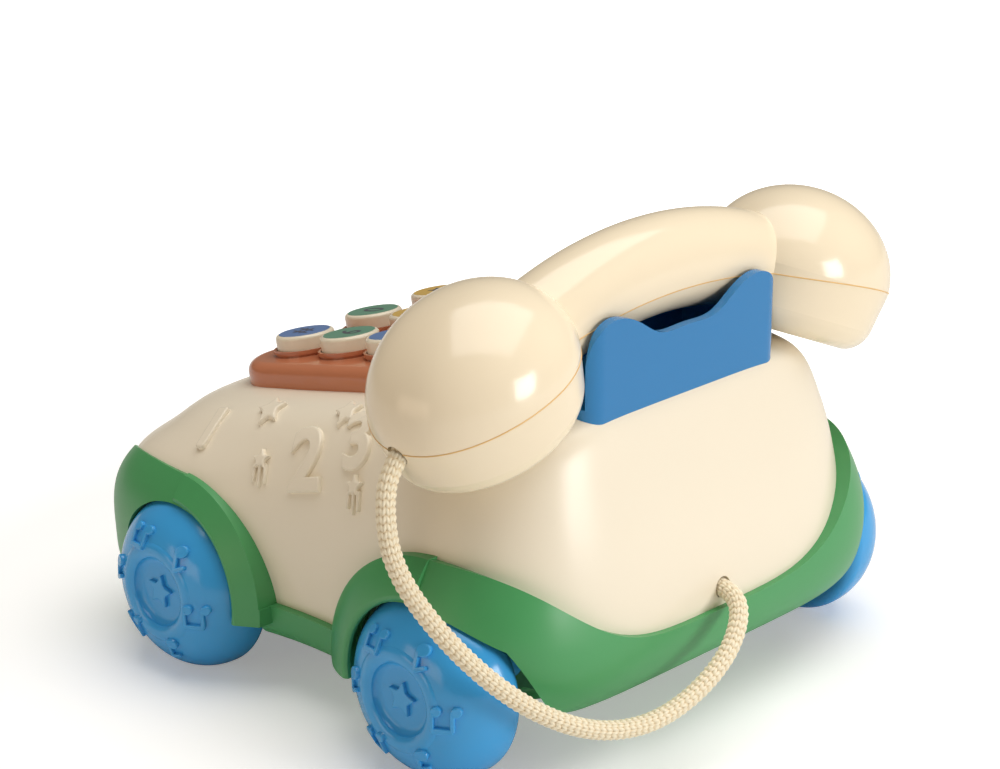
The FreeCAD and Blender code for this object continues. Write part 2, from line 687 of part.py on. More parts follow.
def circuit_board():
    under = BOARD_TOP - BOARD_THICK
    sheet = window(-MAT_EDGE, under, BOARD_TOP)
    holes = [rod(BOARD_SCREW_R + COVER_GAP, Vector(u, v, -HOLE_LENGTH / 2), Z_AXIS, HOLE_LENGTH)
             for u, v in board_posts()]
    chip = block(-CHIP_HALF, CHIP_HALF, CHIP_V - CHIP_HALF, CHIP_V + CHIP_HALF, under - CHIP_H, under)
    return laid(sheet.cut(holes).fuse(chip).removeSplitter())


def board_screws():
    screws = []
    low = BOARD_TOP - BOARD_THICK
    head_r, head_h = BOARD_SCREW_HEAD
    for u, v in board_posts():
        shank = rod(BOARD_SCREW_R, Vector(u, v, low), Z_AXIS, BOARD_SCREW_LENGTH)
        head = rod(head_r, Vector(u, v, low - head_h), Z_AXIS, head_h)
        screws.append(laid(shank.fuse(head)))
    return Part.makeCompound(screws)


# Handset: a bent handle with a cup at each end, in two shells
def handle_bar(grow):
    middle = Vector(0, HANDSET_Y, HANDLE_Z)
    oval = Part.Ellipse(middle + Z_AXIS * (HANDLE_H + grow), middle + Y_AXIS * (HANDLE_R + grow), middle)
    face = Part.Face(Part.Wire(oval.toShape()))
    centre = Vector(0, HANDSET_Y, HANDLE_Z - SPINE_R)
    spread = math.degrees(math.asin(CUP_X / SPINE_R))
    face.rotate(centre, Y_AXIS, -spread)
    return face.revolve(centre, Y_AXIS, 2 * spread)


def cup(side, grow):
    """One end of the handset: a dome above the seam and a tapering cup below it."""
    def at(r, h):
        return Vector(r, 0, h)
    wide = CUP_R + grow
    dome = DOME_H + grow
    drop = CUP_DROP + grow
    foot = CUP_FOOT_R + grow
    edge = CUP_EDGE + grow
    crown = Part.Ellipse(Vector(0, 0, 0), wide, dome)
    crown.rotate(Placement(Vector(0, 0, 0), Rotation(X_AXIS, 90)))
    arc = Part.ArcOfEllipse(crown, 0, math.pi / 2).toShape()
    lean = (wide - foot) / drop
    turn_r = foot + lean * edge
    nose = Part.Arc(at(turn_r, edge - drop), at(foot - ARC_DIP * edge, ARC_DIP * edge - drop),
                    at(foot - edge, -drop)).toShape()
    lines = [
        Part.LineSegment(at(wide, 0), at(turn_r, edge - drop)).toShape(),
        Part.LineSegment(at(foot - edge, -drop), at(0, -drop)).toShape(),
        Part.LineSegment(at(0, -drop), at(0, dome)).toShape(),
    ]
    wire = Part.Wire(Part.__sortEdges__([arc, nose] + lines))
    solid = turned(wire, Vector(0, 0, 0), Z_AXIS)
    slim = FreeCAD.Matrix()
    slim.scale(1.0, CUP_DEPTH_RATIO, 1.0)
    solid = solid.transformGeometry(slim)
    solid.Placement = Placement(Vector(side * CUP_X, HANDSET_Y, CUP_Z), Rotation(Y_AXIS, side * CUP_TILT))
    return solid


def handset_form(grow):
    return handle_bar(grow).fuse([cup(side, grow) for side in SIDES])


HANDSET_SCREWS = (22.0, -22.0)
HANDSET_SCREW_Z = 114.0
HANDSET_SCREW_LENGTH = 13.0
HANDSET_POST_R = 3.6
ARC_DIP = 0.29
SOUND_HOLES = ((0.0, 1), (5.0, 6), (10.0, 12))
SOUND_HOLE_R = 0.9


def seam_cylinder():
    low = Vector(0, HANDSET_Y - REACH, SEAM_Z - SEAM_R)
    return rod(SEAM_R, low, Y_AXIS, 2 * REACH)


def cup_holes():
    """Sound holes in the flat foot of each cup."""
    holes = []
    for side in SIDES:
        place = Placement(Vector(side * CUP_X, HANDSET_Y, CUP_Z), Rotation(Y_AXIS, side * CUP_TILT))
        for radius, count in SOUND_HOLES:
            for i in range(count):
                turn = 2 * math.pi * i / count
                spot = Vector(radius * math.cos(turn), radius * math.sin(turn), -CUP_DROP - 1)
                hole = rod(SOUND_HOLE_R, spot, Z_AXIS, HANDSET_WALL + 2)
                hole.Placement = place.multiply(hole.Placement)
                holes.append(hole)
    return holes


def handset_shells(cord_hole):
    hollow = handset_form(-HANDSET_WALL)
    form = handset_form(0)
    shell = form.cut(hollow)
    posts = []
    for x in HANDSET_SCREWS:
        post = rod(HANDSET_POST_R, Vector(x, HANDSET_Y, HANDLE_Z - 2 * HANDLE_R), Z_AXIS, 4 * HANDLE_R)
        posts.append(post.common(form))
    inside = seam_cylinder()
    whole = shell.fuse(posts)
    lower_cuts = [cord_hole] + cup_holes()
    upper_cuts = [cord_hole]
    for x in HANDSET_SCREWS:
        seat = Vector(x, HANDSET_Y, HANDSET_SCREW_Z)
        lower_cuts.append(rod(SCREW_HEAD_R + COVER_GAP, seat, -Z_AXIS, HANDLE_R))
        pilot = rod(SCREW_R, seat - Z_AXIS, Z_AXIS, HANDSET_SCREW_LENGTH + 2)
        lower_cuts.append(pilot)
        upper_cuts.append(pilot)
    lower = whole.common(inside).cut(lower_cuts)
    upper = whole.cut(inside).cut(upper_cuts)
    return upper, lower


def handset_screws():
    return Part.makeCompound([screw(Vector(x, HANDSET_Y, HANDSET_SCREW_Z), Z_AXIS, HANDSET_SCREW_LENGTH)
                              for x in HANDSET_SCREWS])


# Cradle: two horned walls on a floor, with a saddle at each end
CRADLE_SCREWS = (20.0, -20.0)
CRADLE_SCREW_Z = CRADLE_BASE_Z + 2.6
CRADLE_SCREW_LENGTH = 11.0
CRADLE_POST_R = 3.6
CRADLE_POST_H = 12.0
CRADLE_CORNER = 6.0
SADDLE_X = 34.4
SADDLE_TOP_Z = 118.0
POCKET_X = 32.0
REST_GAP = 0.5
CUT_LENGTH = 20.0


def horned_wall():
    def at(x, z):
        return Vector(x, 0, z)
    half = [at(0, CRADLE_DIP_Z), at(12, CRADLE_DIP_Z + 0.5), at(19.5, CRADLE_HORN_Z - 3.2),
            at(26, CRADLE_HORN_Z - 0.3), at(31, CRADLE_HORN_Z), at(36, CRADLE_HORN_Z - 2.6),
            at(CRADLE_TOP_HALF + 0.8, CRADLE_HORN_Z - 7.5), at(CRADLE_HALF, CRADLE_BASE_Z + 8)]
    points = [at(-p.x, p.z) for p in reversed(half[1:])] + half
    curve = Part.BSplineCurve()
    curve.interpolate(points)
    low = CRADLE_BASE_Z
    corners = [points[-1], at(CRADLE_HALF, low), at(-CRADLE_HALF, low), points[0]]
    edges = [curve.toShape()]
    edges += [Part.LineSegment(a, b).toShape() for a, b in zip(corners, corners[1:])]
    face = Part.Face(Part.Wire(Part.__sortEdges__(edges)))
    face.translate(Vector(0, HANDSET_Y - CRADLE_REACH, 0))
    return face.extrude(Vector(0, 2 * CRADLE_REACH, 0))


def cradle_block(grow, top):
    return rounded_block(-CRADLE_HALF - grow, CRADLE_HALF + grow, HANDSET_Y - CRADLE_REACH - grow,
                         HANDSET_Y + CRADLE_REACH + grow, CRADLE_BASE_Z, top, CRADLE_CORNER)


def handset_cradle():
    solid = horned_wall().common(cradle_block(0, REACH))
    trough_y = CRADLE_REACH - CRADLE_WALL
    low_y = HANDSET_Y - trough_y
    high_y = HANDSET_Y + trough_y
    cuts = [
        block(-POCKET_X, POCKET_X, low_y, high_y, CRADLE_FLOOR_Z, REACH),
        block(SADDLE_X, REACH, low_y, high_y, CRADLE_FLOOR_Z, REACH),
        block(-REACH, -SADDLE_X, low_y, high_y, CRADLE_FLOOR_Z, REACH),
        handset_form(REST_GAP),
        block(-REACH, REACH, low_y, high_y, SADDLE_TOP_Z, REACH),
    ]
    for x in CRADLE_SCREWS:
        cuts.append(rod(SCREW_R, Vector(x, HANDSET_Y, CRADLE_BASE_Z - 5), Z_AXIS, CUT_LENGTH))
        cuts.append(rod(SCREW_HEAD_R + HEAD_GAP, Vector(x, HANDSET_Y, CRADLE_SCREW_Z), Z_AXIS, CUT_LENGTH))
    return solid.cut(cuts).removeSplitter()


def cradle_screws():
    return Part.makeCompound([screw(Vector(x, HANDSET_Y, CRADLE_SCREW_Z), -Z_AXIS, CRADLE_SCREW_LENGTH)
                              for x in CRADLE_SCREWS])


# Body shell
SEAT_RIM = 3.0
SEAT_CORNER = 8.0
POCKET_TOP = 14.0
PEG_HOLE_LOW = -8.0
POST_LENGTH = 80.0


def body_shell(outer, core, hollow, zone, cord_hole):
    shell = outer.cut(hollow).cut(zone)
    seat = rounded_block(-CRADLE_HALF - SEAT_RIM, CRADLE_HALF + SEAT_RIM,
                         HANDSET_Y - CRADLE_REACH - SEAT_RIM, HANDSET_Y + CRADLE_REACH + SEAT_RIM,
                         CRADLE_BASE_Z - WALL, CRADLE_BASE_Z + SEAT_RIM, SEAT_CORNER)
    ledge = laid(panel_block(SEAT_RIM, PANEL_SEAT - WALL, PANEL_SEAT + 1))
    posts = [seat.common(core), ledge.common(core)]
    cuts = [cord_hole, cradle_block(0, REACH), laid(panel_block(0, PANEL_SEAT, POCKET_TOP))]
    for x, y in CHASSIS_SCREWS:
        posts.append(rod(BOSS_R, Vector(x, y, BOSS_TOP), Z_AXIS, POST_LENGTH).common(core))
        cuts.append(rod(SCREW_R, Vector(x, y, BOSS_TOP - 1), Z_AXIS, CHASSIS_SCREW_LENGTH - 3))
    for x in CRADLE_SCREWS:
        foot = Vector(x, HANDSET_Y, CRADLE_BASE_Z - CRADLE_POST_H)
        posts.append(rod(CRADLE_POST_R, foot, Z_AXIS, CRADLE_POST_H))
        cuts.append(rod(SCREW_R, foot + Z_AXIS * 3.0, Z_AXIS, CUT_LENGTH))
    cuts.append(laid(window(0, -POCKET_TOP, POCKET_TOP)))
    cuts += [laid(rod(PEG_R, Vector(u, v, PEG_HOLE_LOW), Z_AXIS, HOLE_LENGTH)) for u, v in PEGS]
    return shell.fuse(posts).cut(cuts).removeSplitter()


# Cord, a tube of straight runs and the largest arcs that fit between them
ARC_SHARE = 0.45
KNOT_SINK = 1.2
BODY_HOLE_AT = Vector(0.2, 82.0, 40.2)
HOLE_BACK = 2.0
CORD_HOLE_LENGTH = 14.0


def cord_path(points):
    edges = []
    radii = []
    last = points[0]
    for before, corner, after in zip(points, points[1:], points[2:]):
        back = before - corner
        ahead = after - corner
        run = min(back.Length, ahead.Length)
        back.normalize()
        ahead.normalize()
        turn = math.pi - back.getAngle(ahead)
        radius = ARC_SHARE * run / math.tan(turn / 2)
        start = corner + back * (ARC_SHARE * run)
        end = corner + ahead * (ARC_SHARE * run)
        bisector = (back + ahead).normalize()
        middle = corner + bisector * (radius / math.cos(turn / 2) - radius)
        edges.append(Part.LineSegment(last, start).toShape())
        edges.append(Part.Arc(start, middle, end).toShape())
        radii.append(radius)
        last = end
    edges.append(Part.LineSegment(last, points[-1]).toShape())
    return Part.Wire(edges), radii


def cord_tube(points, radius):
    path, radii = cord_path(points)
    start = points[0]
    heading = (points[1] - start).normalize()
    section = Part.Wire(Part.Circle(start, heading, radius).toShape())
    tube = path.makePipeShell([section], True, False)
    return tube, path.Length, radii


def knot(tip, inward):
    """Round knot behind a wall, flat where the cord comes out of it."""
    middle = KNOT_R - KNOT_SINK
    mouth = Vector(math.sqrt(KNOT_R ** 2 - middle ** 2), 0, 0)
    crown = Vector(0, 0, middle + KNOT_R)
    edges = [
        Part.Arc(mouth, Vector(KNOT_R, 0, middle), crown).toShape(),
        Part.LineSegment(crown, Vector(0, 0, 0)).toShape(),
        Part.LineSegment(Vector(0, 0, 0), mouth).toShape(),
    ]
    solid = turned(Part.Wire(edges), Vector(0, 0, 0), Z_AXIS)
    solid.Placement = Placement(tip, Rotation(Z_AXIS, inward))
    return solid


def hole_along(start, through):
    heading = (through - start).normalize()
    return rod(CORD_HOLE_R, start - heading * HOLE_BACK, heading, CORD_HOLE_LENGTH)


def build():
    route = [Vector(*p) for p in CORD_POINTS]
    handset_hole = hole_along(route[0], route[1])
    body_hole = rod(CORD_HOLE_R, BODY_HOLE_AT, Y_AXIS, CORD_HOLE_LENGTH)
    tube, length, radii = cord_tube(route, CORD_R)
    print("cord length", round(length, 1), "volume ratio",
          round(tube.Volume / (math.pi * CORD_R ** 2 * length), 4))
    print("cord radii", [round(r, 1) for r in radii])
    outer = body_form(0)
    core = body_form(-WALL / 2)
    hollow = body_form(-WALL)
    zone = green_zone()
    upper, lower = handset_shells(handset_hole)
    parts = {
        "body_shell": body_shell(outer, core, hollow, zone, body_hole),
        "chassis": chassis(zone, hollow),
        "handset_cradle": handset_cradle(),
        "cradle_screws": cradle_screws(),
        "keypad_panel": keypad_panel(),
        "key_mat": key_mat(),
        "circuit_board": circuit_board(),
        "board_screws": board_screws(),
        "speaker": speaker(),
        "battery_cover": battery_cover(),
        "battery_cover_screw": cover_screw(),
        "batteries": batteries(),
        "battery_contacts": battery_contacts(),
        "power_switch": power_switch(),
        "chassis_screws": chassis_screws(),
        "handset_upper_shell": upper,
        "handset_lower_shell": lower,
        "handset_screws": handset_screws(),
        "cord": tube,
        "handset_knot": knot(route[0], (route[0] - route[1]).normalize()),
        "body_knot": knot(route[-1], (route[-1] - route[-2]).normalize()),
    }
    for name, u, v in key_spots():
        parts["key_" + name] = key(u, v)
    for end, wheel_y in (("front", FRONT_AXLE_Y), ("rear", REAR_AXLE_Y)):
        parts[end + "_axle"] = axle(wheel_y)
        parts[end + "_axle_sleeves"] = axle_sleeves(wheel_y)
        for side, word in ((1, "left"), (-1, "right")):
            parts[end + "_" + word + "_wheel"] = wheel(side, wheel_y)
    return parts


os.makedirs("parts", exist_ok=True)
for node, shape in build().items():
    shape.exportStep("parts/" + node + ".step")
    box = shape.BoundBox
    print(node, len(shape.Solids), shape.isValid(), round(shape.Volume),
          [round(v, 1) for v in (box.XMin, box.XMax, box.YMin, box.YMax, box.ZMin, box.ZMax)])
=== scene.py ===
import json
import math
from bisect import bisect_right

import bpy
from mathutils import Matrix, Vector
from mathutils.bvhtree import BVHTree


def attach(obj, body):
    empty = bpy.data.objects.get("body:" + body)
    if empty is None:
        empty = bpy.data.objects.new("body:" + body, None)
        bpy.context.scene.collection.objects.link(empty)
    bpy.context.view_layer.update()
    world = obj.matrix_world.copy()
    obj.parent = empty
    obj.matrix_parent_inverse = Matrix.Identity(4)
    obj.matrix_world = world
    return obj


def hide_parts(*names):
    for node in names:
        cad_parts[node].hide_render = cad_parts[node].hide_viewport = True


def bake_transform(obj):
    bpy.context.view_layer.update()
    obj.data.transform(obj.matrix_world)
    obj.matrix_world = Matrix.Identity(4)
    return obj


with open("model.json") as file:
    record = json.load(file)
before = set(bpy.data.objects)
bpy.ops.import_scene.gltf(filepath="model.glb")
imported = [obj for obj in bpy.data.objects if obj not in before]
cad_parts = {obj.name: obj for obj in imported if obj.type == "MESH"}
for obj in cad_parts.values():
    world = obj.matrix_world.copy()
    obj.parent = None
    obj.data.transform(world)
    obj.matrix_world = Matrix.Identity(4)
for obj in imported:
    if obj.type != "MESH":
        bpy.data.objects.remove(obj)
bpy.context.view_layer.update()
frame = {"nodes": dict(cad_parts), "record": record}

bl_info = {
    "name": "Toy Telephone on Wheels",
    "version": (1, 0, 0),
    "blender": (4, 5, 0),
    "location": "3D View > Sidebar > Toy Telephone",
    "description": "Dresses the toy telephone: plastics, knitted cord, printed keys and raised motifs",
    "category": "Object",
}

# Viewpoint of the photograph: place in metres, the way it looks, and its focal length
CAMERA_AT = Vector((0.534926, 0.521154, 0.344872))
CAMERA_AZIMUTH = math.radians(134.0204)
CAMERA_ELEVATION = math.radians(19.7209)
FOCAL_PIXELS = 2700
PICTURE_WIDTH = 1000
SENSOR_WIDTH = 36.0

# Studio: the fill of the sky, the floor and its glow for the camera, which grows between two distances
SKY_TINT = (1.0, 0.86, 0.70)
SKY_STRENGTH = 0.16
FLOOR_HALF = 6.0
FLOOR_GLOW = (0.28, 1.0)
FLOOR_FADE = (0.17, 0.42)
# Lights: name, place, width and height, power in watts and colour, all aimed at one point
LIGHT_AIM = (0, 0, 0.06)
LIGHTS = (
    ("key_softbox", (-0.28, 1.25, 0.32), (0.45, 0.45), 7.2, (1, 0.98, 0.96)),
    ("top_sheet", (-0.2, 0.2, 1.6), (1.7, 1.7), 24, (1, 0.99, 0.97)),
    ("side_fill", (1.2, -0.2, 0.22), (0.9, 0.35), 1.9, (1, 0.80, 0.60)),
)

# Noise of the materials: scale and detail
FLOW_MARKS = (14.0, 2.0)
ORANGE_PEEL = (45.0, 1.0)
FINE_GRAIN = (700.0, 2.0)
STEEL_STREAKS = (900.0, 4.0)
YARN_FIBRES = (1500.0, 4.0)
FLOOR_SPECKLE = (40.0, 3.0)
# Depths of grain in metres, and how far the gloss of a plastic varies
GRAIN_DEPTH = 0.00004
FIBRE_DEPTH = 0.00015
GLOSS_VARIES = 0.01
# Colours of the pieces inside
NYLON_WHITE = (0.85, 0.84, 0.80)
RUBBER_GREY = (0.30, 0.30, 0.30)
BOARD_GREEN = (0.05, 0.22, 0.10)
SPEAKER_BLACK = (0.05, 0.05, 0.05)
JACKET_GREY = (0.10, 0.10, 0.11)
SWITCH_BLACK = (0.04, 0.04, 0.04)

# Angles in degrees below which edges are shaded smooth
CORD_SMOOTH = 80
SEAM_SMOOTH = 60
MOTIF_SMOOTH = 35
DISC_SMOOTH = 30

# Cord, from the knot in the handset to the knot in the body, in metres
CORD_ROUTE = (
    (0.0890, 0.0590, 0.1010),
    (0.0975, 0.0596, 0.0950),
    (0.1012, 0.0612, 0.0850),
    (0.1020, 0.0646, 0.0715),
    (0.0986, 0.0730, 0.0580),
    (0.0900, 0.0840, 0.0426),
    (0.0775, 0.0924, 0.0298),
    (0.0615, 0.0982, 0.0206),
    (0.0440, 0.1018, 0.0176),
    (0.0275, 0.1036, 0.0212),
    (0.0125, 0.1034, 0.0290),
    (0.0025, 0.0990, 0.0375),
    (0.0000, 0.0910, 0.0405),
    (0.0003, 0.0845, 0.0400),
)
CORD_STEPS = 16
CORE_SHARE = 0.74
CORE_SIDES = 12
CORE_RINGS = 160
WALES = 8
YARN_SIDES = 6
YARN_RINGS = 6
# One leg of a stitch: thickness in its widths, dip in its thicknesses, reach across in widths,
# reach along in pitches, girth at its ends and how dark the painted shade makes the yarn in the hollows
YARN_THICK = 0.56
YARN_DIP = 0.6
LEG_ACROSS = (0.14, 0.86)
LEG_ALONG = (-0.2, 1.3)
END_GIRTH = 0.45
HOLLOW_SHADE = 0.75

# Seam between the shells of the handset: an arc about an axis across it, and how an edge on it is found
SEAM_R = 0.205
SEAM_AXIS_Z = 0.1218 - SEAM_R
SEAM_TOUCH = 0.00002
SEAM_CLEAR = 0.0002
SEAM_REACH = 0.06

# Keypad, in its own sloping frame (across, up the slope, out of it)
KEYPAD_SLOPE = math.atan(0.214)
KEYPAD_AT = Vector((0, 0, 0.08645))
KEY_COLUMNS = (-0.028, 0.0, 0.028)
KEY_TOP_ROW = 0.012
KEY_PITCH = 0.020
KEY_TOP = 0.0128
KEY_MARKS = (("1", "2", "3"), ("4", "5", "6"), ("7", "8", "9"), ("star", "0", "hash"))
DISC_TINTS = (("blue", "yellow", "green"), ("yellow", "green", "blue"))
DISC_VERTICES = 64
DISC_WALL = 0.6
INK_RISE = 0.00003
KEY_BOLDNESS = 0.012
KEY_STAR_WAIST = 0.22

# Shapes of the motifs, in shares of their height
UP = (0, 0, 1)
FONT_SCALE = 1.38
STAR_WAIST = 0.235
STAR_CORNER = 0.16
BAR_CORNER = 0.35
OVAL_POINTS = 20
CORNER_SHARES = (0.0, 0.25, 0.5, 0.75, 1.0)
EDGE_ROUNDS = 2
MOTIF_SINK = 0.0006
TOP_TOUCH = 1e-7
LAY_CLEAR = 0.02
# Bars have a finer edge than the rest of a motif
BAR_EDGE = 0.8
# Shooting star: its star, then its streaks as place across and lower end
SHOOTING_SIZE = 0.62
SHOOTING_LIFT = 0.22
STREAKS = ((-0.17, -0.36), (0.0, -0.5), (0.17, -0.42))
STREAK_TOP = 0.1
STREAK_SPREAD = 1.15
STREAK_WIDTHS = (0.10, 0.06)
STREAK_RISE = 0.8
# Notes: heads as centre, width and height, and bars as two ends and the widths there
NOTE_TILT = 0.35
NOTE_HEADS = {
    "single": (((0.0, 0.26), 0.56, 0.46),),
    "beamed": (((-0.34, 0.22), 0.40, 0.34), ((0.34, 0.28), 0.40, 0.34)),
}
NOTE_BARS = {
    "single": (
        ((-0.19, 0.22), (-0.19, -0.50), 0.17, 0.17),
        ((-0.22, -0.46), (0.22, -0.28), 0.20, 0.15),
    ),
    "beamed": (
        ((-0.46, 0.18), (-0.46, -0.46), 0.15, 0.15),
        ((0.22, 0.24), (0.22, -0.40), 0.15, 0.15),
        ((-0.50, -0.45), (0.26, -0.39), 0.19, 0.19),
    ),
}

# Raised motifs on the left side: what, place near the surface, lean in degrees and height
SIDE_MOTIFS = (
    ("1", (0.0680, -0.0453, 0.0700), 22, 0.0150),
    ("2", (0.0706, -0.0018, 0.0719), 17, 0.0180),
    ("3", (0.0660, 0.0150, 0.0810), 30, 0.0170),
    ("star", (0.0612, -0.0268, 0.0781), 50, 0.0100),
    ("star", (0.0598, 0.0039, 0.0849), 50, 0.0095),
    ("shooting", (0.0732, -0.0183, 0.0664), 14, 0.0110),
    ("shooting", (0.0730, 0.0202, 0.0691), 14, 0.0110),
    ("note", (0.0511, -0.0640, 0.0702), 60, 0.0085),
)
STAR_STRETCH = 1.35
ONE_WIDTHS = (0.22, 0.27)
SIDE_BOLDNESS = 0.05
SIDE_RISE = 0.0015
SIDE_EDGE = 0.0005
# The right side reads from its rear to its front
RIGHT_SIDE = {"1": "3", "3": "1"}

# Raised motifs on the wheels
WHEEL_R = 0.0265
WHEEL_FACE = 0.0930
NOTE_RADIUS = 0.0178
NOTE_FIRST = {"front": 9, "rear": 0}
NOTES = ("single", "beamed") * 3
NOTE_HEIGHTS = {"single": 0.0080, "beamed": 0.0084}
HUB_STAR = 0.0108
HUB_STAR_LEAN = -8
WHEEL_RISE = 0.0011
WHEEL_EDGE = 0.00035
AXLES = {"front": -0.044, "rear": 0.056}
SIDES = (("left", 1), ("right", -1))


# Helpers for making and placing pieces
def deselect_all():
    if bpy.context.object and bpy.context.object.mode != "OBJECT":
        bpy.ops.object.mode_set(mode="OBJECT")
    bpy.ops.object.select_all(action="DESELECT")


def mesh_piece(name, points, faces):
    mesh = bpy.data.meshes.new(name)
    mesh.from_pydata(points, [], faces)
    mesh.update()
    piece = bpy.data.objects.new(name, mesh)
    bpy.context.scene.collection.objects.link(piece)
    return piece


def pick(piece):
    """Makes a piece the only one selected, and the active one."""
    deselect_all()
    piece.select_set(True)
    bpy.context.view_layer.objects.active = piece


def smooth(piece, degrees):
    pick(piece)
    bpy.ops.object.shade_smooth_by_angle(angle=math.radians(degrees))


def paint(piece, material):
    piece.data.materials.clear()
    piece.data.materials.append(material)


def surface_of(name):
    """Search tree of a node's surface, to lay motifs on."""
    mesh = frame["nodes"][name].data
    points = [vertex.co.copy() for vertex in mesh.vertices]
    return BVHTree.FromPolygons(points, [tuple(face.vertices) for face in mesh.polygons])


def lay_on(piece, surface, near, lean):
    """Wraps a flat piece onto a surface: its Z stands out and its Y leans from upright, in degrees."""
    place, normal, _, _ = surface.find_nearest(Vector(near))
    level = Vector(UP).cross(normal).normalized()
    side = Matrix.Rotation(math.radians(lean), 3, normal) @ level
    rise = normal.cross(side)
    for vertex in piece.data.vertices:
        x, y, z = vertex.co
        over = place + side * x + rise * y + normal * LAY_CLEAR
        hit, _, _, _ = surface.ray_cast(over, -normal, 2 * LAY_CLEAR)
        if hit is None:
            raise RuntimeError("motif " + piece.name + " runs off its surface")
        vertex.co = hit + normal * z
    piece.data.update()


def as_mesh(holder):
    """Turns a flat curve or a text into a mesh."""
    pick(holder)
    bpy.ops.object.convert(target="MESH")
    return bpy.context.view_layer.objects.active


def joined(name, pieces):
    deselect_all()
    for piece in pieces:
        piece.select_set(True)
    bpy.context.view_layer.objects.active = pieces[0]
    bpy.ops.object.join()
    pieces[0].name = name
    pieces[0].data.name = name
    return pieces[0]


def raise_flat(piece, rise):
    """Sets a solid that was thickened both ways so that its top stands at the rise."""
    top = max(vertex.co.z for vertex in piece.data.vertices)
    for vertex in piece.data.vertices:
        vertex.co.z = rise if vertex.co.z > top - TOP_TOUCH else vertex.co.z - top + rise
    piece.data.update()


def rounded_corners(corners, radius):
    """Outline with each corner cut to a short arc."""
    points = []
    befores = corners[-1:] + corners[:-1]
    afters = corners[1:] + corners[:1]
    for before, corner, after in zip(befores, corners, afters):
        back = (before - corner).normalized() * radius
        ahead = (after - corner).normalized() * radius
        for share in CORNER_SHARES:
            points.append(corner + back * (1 - share) ** 2 + ahead * share ** 2)
    return points


def thickened(name, curve, rise, edge, offset):
    """Solid with a rounded edge from a flat curve or a text, sunk a little below its foot."""
    curve.offset = offset
    curve.extrude = (rise + MOTIF_SINK) / 2
    curve.bevel_depth = edge
    curve.bevel_resolution = EDGE_ROUNDS
    holder = bpy.data.objects.new(name, curve)
    bpy.context.scene.collection.objects.link(holder)
    piece = as_mesh(holder)
    raise_flat(piece, rise)
    return piece


def flat_solid(name, outline, rise, edge):
    """Solid plate with a rounded top edge from a closed outline."""
    curve = bpy.data.curves.new(name, "CURVE")
    curve.dimensions = "2D"
    curve.fill_mode = "BOTH"
    spline = curve.splines.new("POLY")
    spline.points.add(len(outline) - 1)
    for point, place in zip(spline.points, outline):
        point.co = (place.x, place.y, 0, 1)
    spline.use_cyclic_u = True
    return thickened(name, curve, rise, edge, -edge)


def star_outline(reach, waist):
    corners = []
    for i in range(10):
        turn = math.pi / 2 + math.pi * i / 5
        radius = reach if i % 2 == 0 else waist
        corners.append(Vector((radius * math.cos(turn), radius * math.sin(turn))))
    return rounded_corners(corners, reach * STAR_CORNER)


def oval_outline(centre, width, height, tilt):
    points = []
    for i in range(OVAL_POINTS):
        turn = 2 * math.pi * i / OVAL_POINTS
        x = width / 2 * math.cos(turn)
        y = height / 2 * math.sin(turn)
        points.append(Vector((
            centre[0] + x * math.cos(tilt) - y * math.sin(tilt),
            centre[1] + x * math.sin(tilt) + y * math.cos(tilt),
        )))
    return points


def bar_outline(start, end, start_width, end_width):
    a = Vector(start)
    b = Vector(end)
    across = (b - a).normalized().orthogonal()
    corners = [a + across * start_width / 2, b + across * end_width / 2,
               b - across * end_width / 2, a - across * start_width / 2]
    return rounded_corners(corners, min(start_width, end_width) * BAR_CORNER)


def grown(outline, height):
    """Outline drawn for a height of one, brought to its real height."""
    return [point * height for point in outline]


def raised_digit(name, digit, height, rise, edge, boldness):
    text = bpy.data.curves.new(name, "FONT")
    text.body = digit
    text.align_x = "CENTER"
    text.align_y = "CENTER"
    text.size = height * FONT_SCALE
    return thickened(name, text, rise, edge, height * boldness - edge)


def raised_star(name, height, rise, edge):
    return flat_solid(name, star_outline(height / 2, height * STAR_WAIST), rise, edge)


def shooting_star(name, height, rise, edge):
    """Star with three streaks that trail below it."""
    star = raised_star(name, height * SHOOTING_SIZE, rise, edge)
    for vertex in star.data.vertices:
        vertex.co.y += height * SHOOTING_LIFT
    pieces = [star]
    for x, low in STREAKS:
        outline = grown(bar_outline((x, STREAK_TOP), (x * STREAK_SPREAD, low), *STREAK_WIDTHS), height)
        pieces.append(flat_solid(name + "_streak", outline, rise * STREAK_RISE, edge * BAR_EDGE))
    return joined(name, pieces)


def raised_note(name, kind, height, rise, edge):
    """Quaver with a flag, or a pair under one beam, with the heads uppermost."""
    pieces = []
    for centre, width, tall in NOTE_HEADS[kind]:
        outline = oval_outline(centre, width, tall, NOTE_TILT)
        pieces.append(flat_solid(name + "_head", grown(outline, height), rise, edge))
    for start, end, start_width, end_width in NOTE_BARS[kind]:
        outline = bar_outline(start, end, start_width, end_width)
        pieces.append(flat_solid(name + "_bar", grown(outline, height), rise, edge * BAR_EDGE))
    return joined(name, pieces)


# Materials
def shade(colour, factor):
    """The colour made lighter or darker, with its alpha."""
    return (*[min(1.0, c * factor) for c in colour[:3]], 1.0)


def noise(tree, source, scale, detail):
    texture = tree.nodes.new("ShaderNodeTexNoise")
    texture.inputs["Scale"].default_value = scale
    texture.inputs["Detail"].default_value = detail
    tree.links.new(source, texture.inputs["Vector"])
    return texture.outputs["Fac"]


def mixed_colour(tree, factor, first, second):
    mix = tree.nodes.new("ShaderNodeMix")
    mix.data_type = "RGBA"
    mix.inputs["A"].default_value = first
    mix.inputs["B"].default_value = second
    tree.links.new(factor, mix.inputs["Factor"])
    return mix.outputs["Result"]


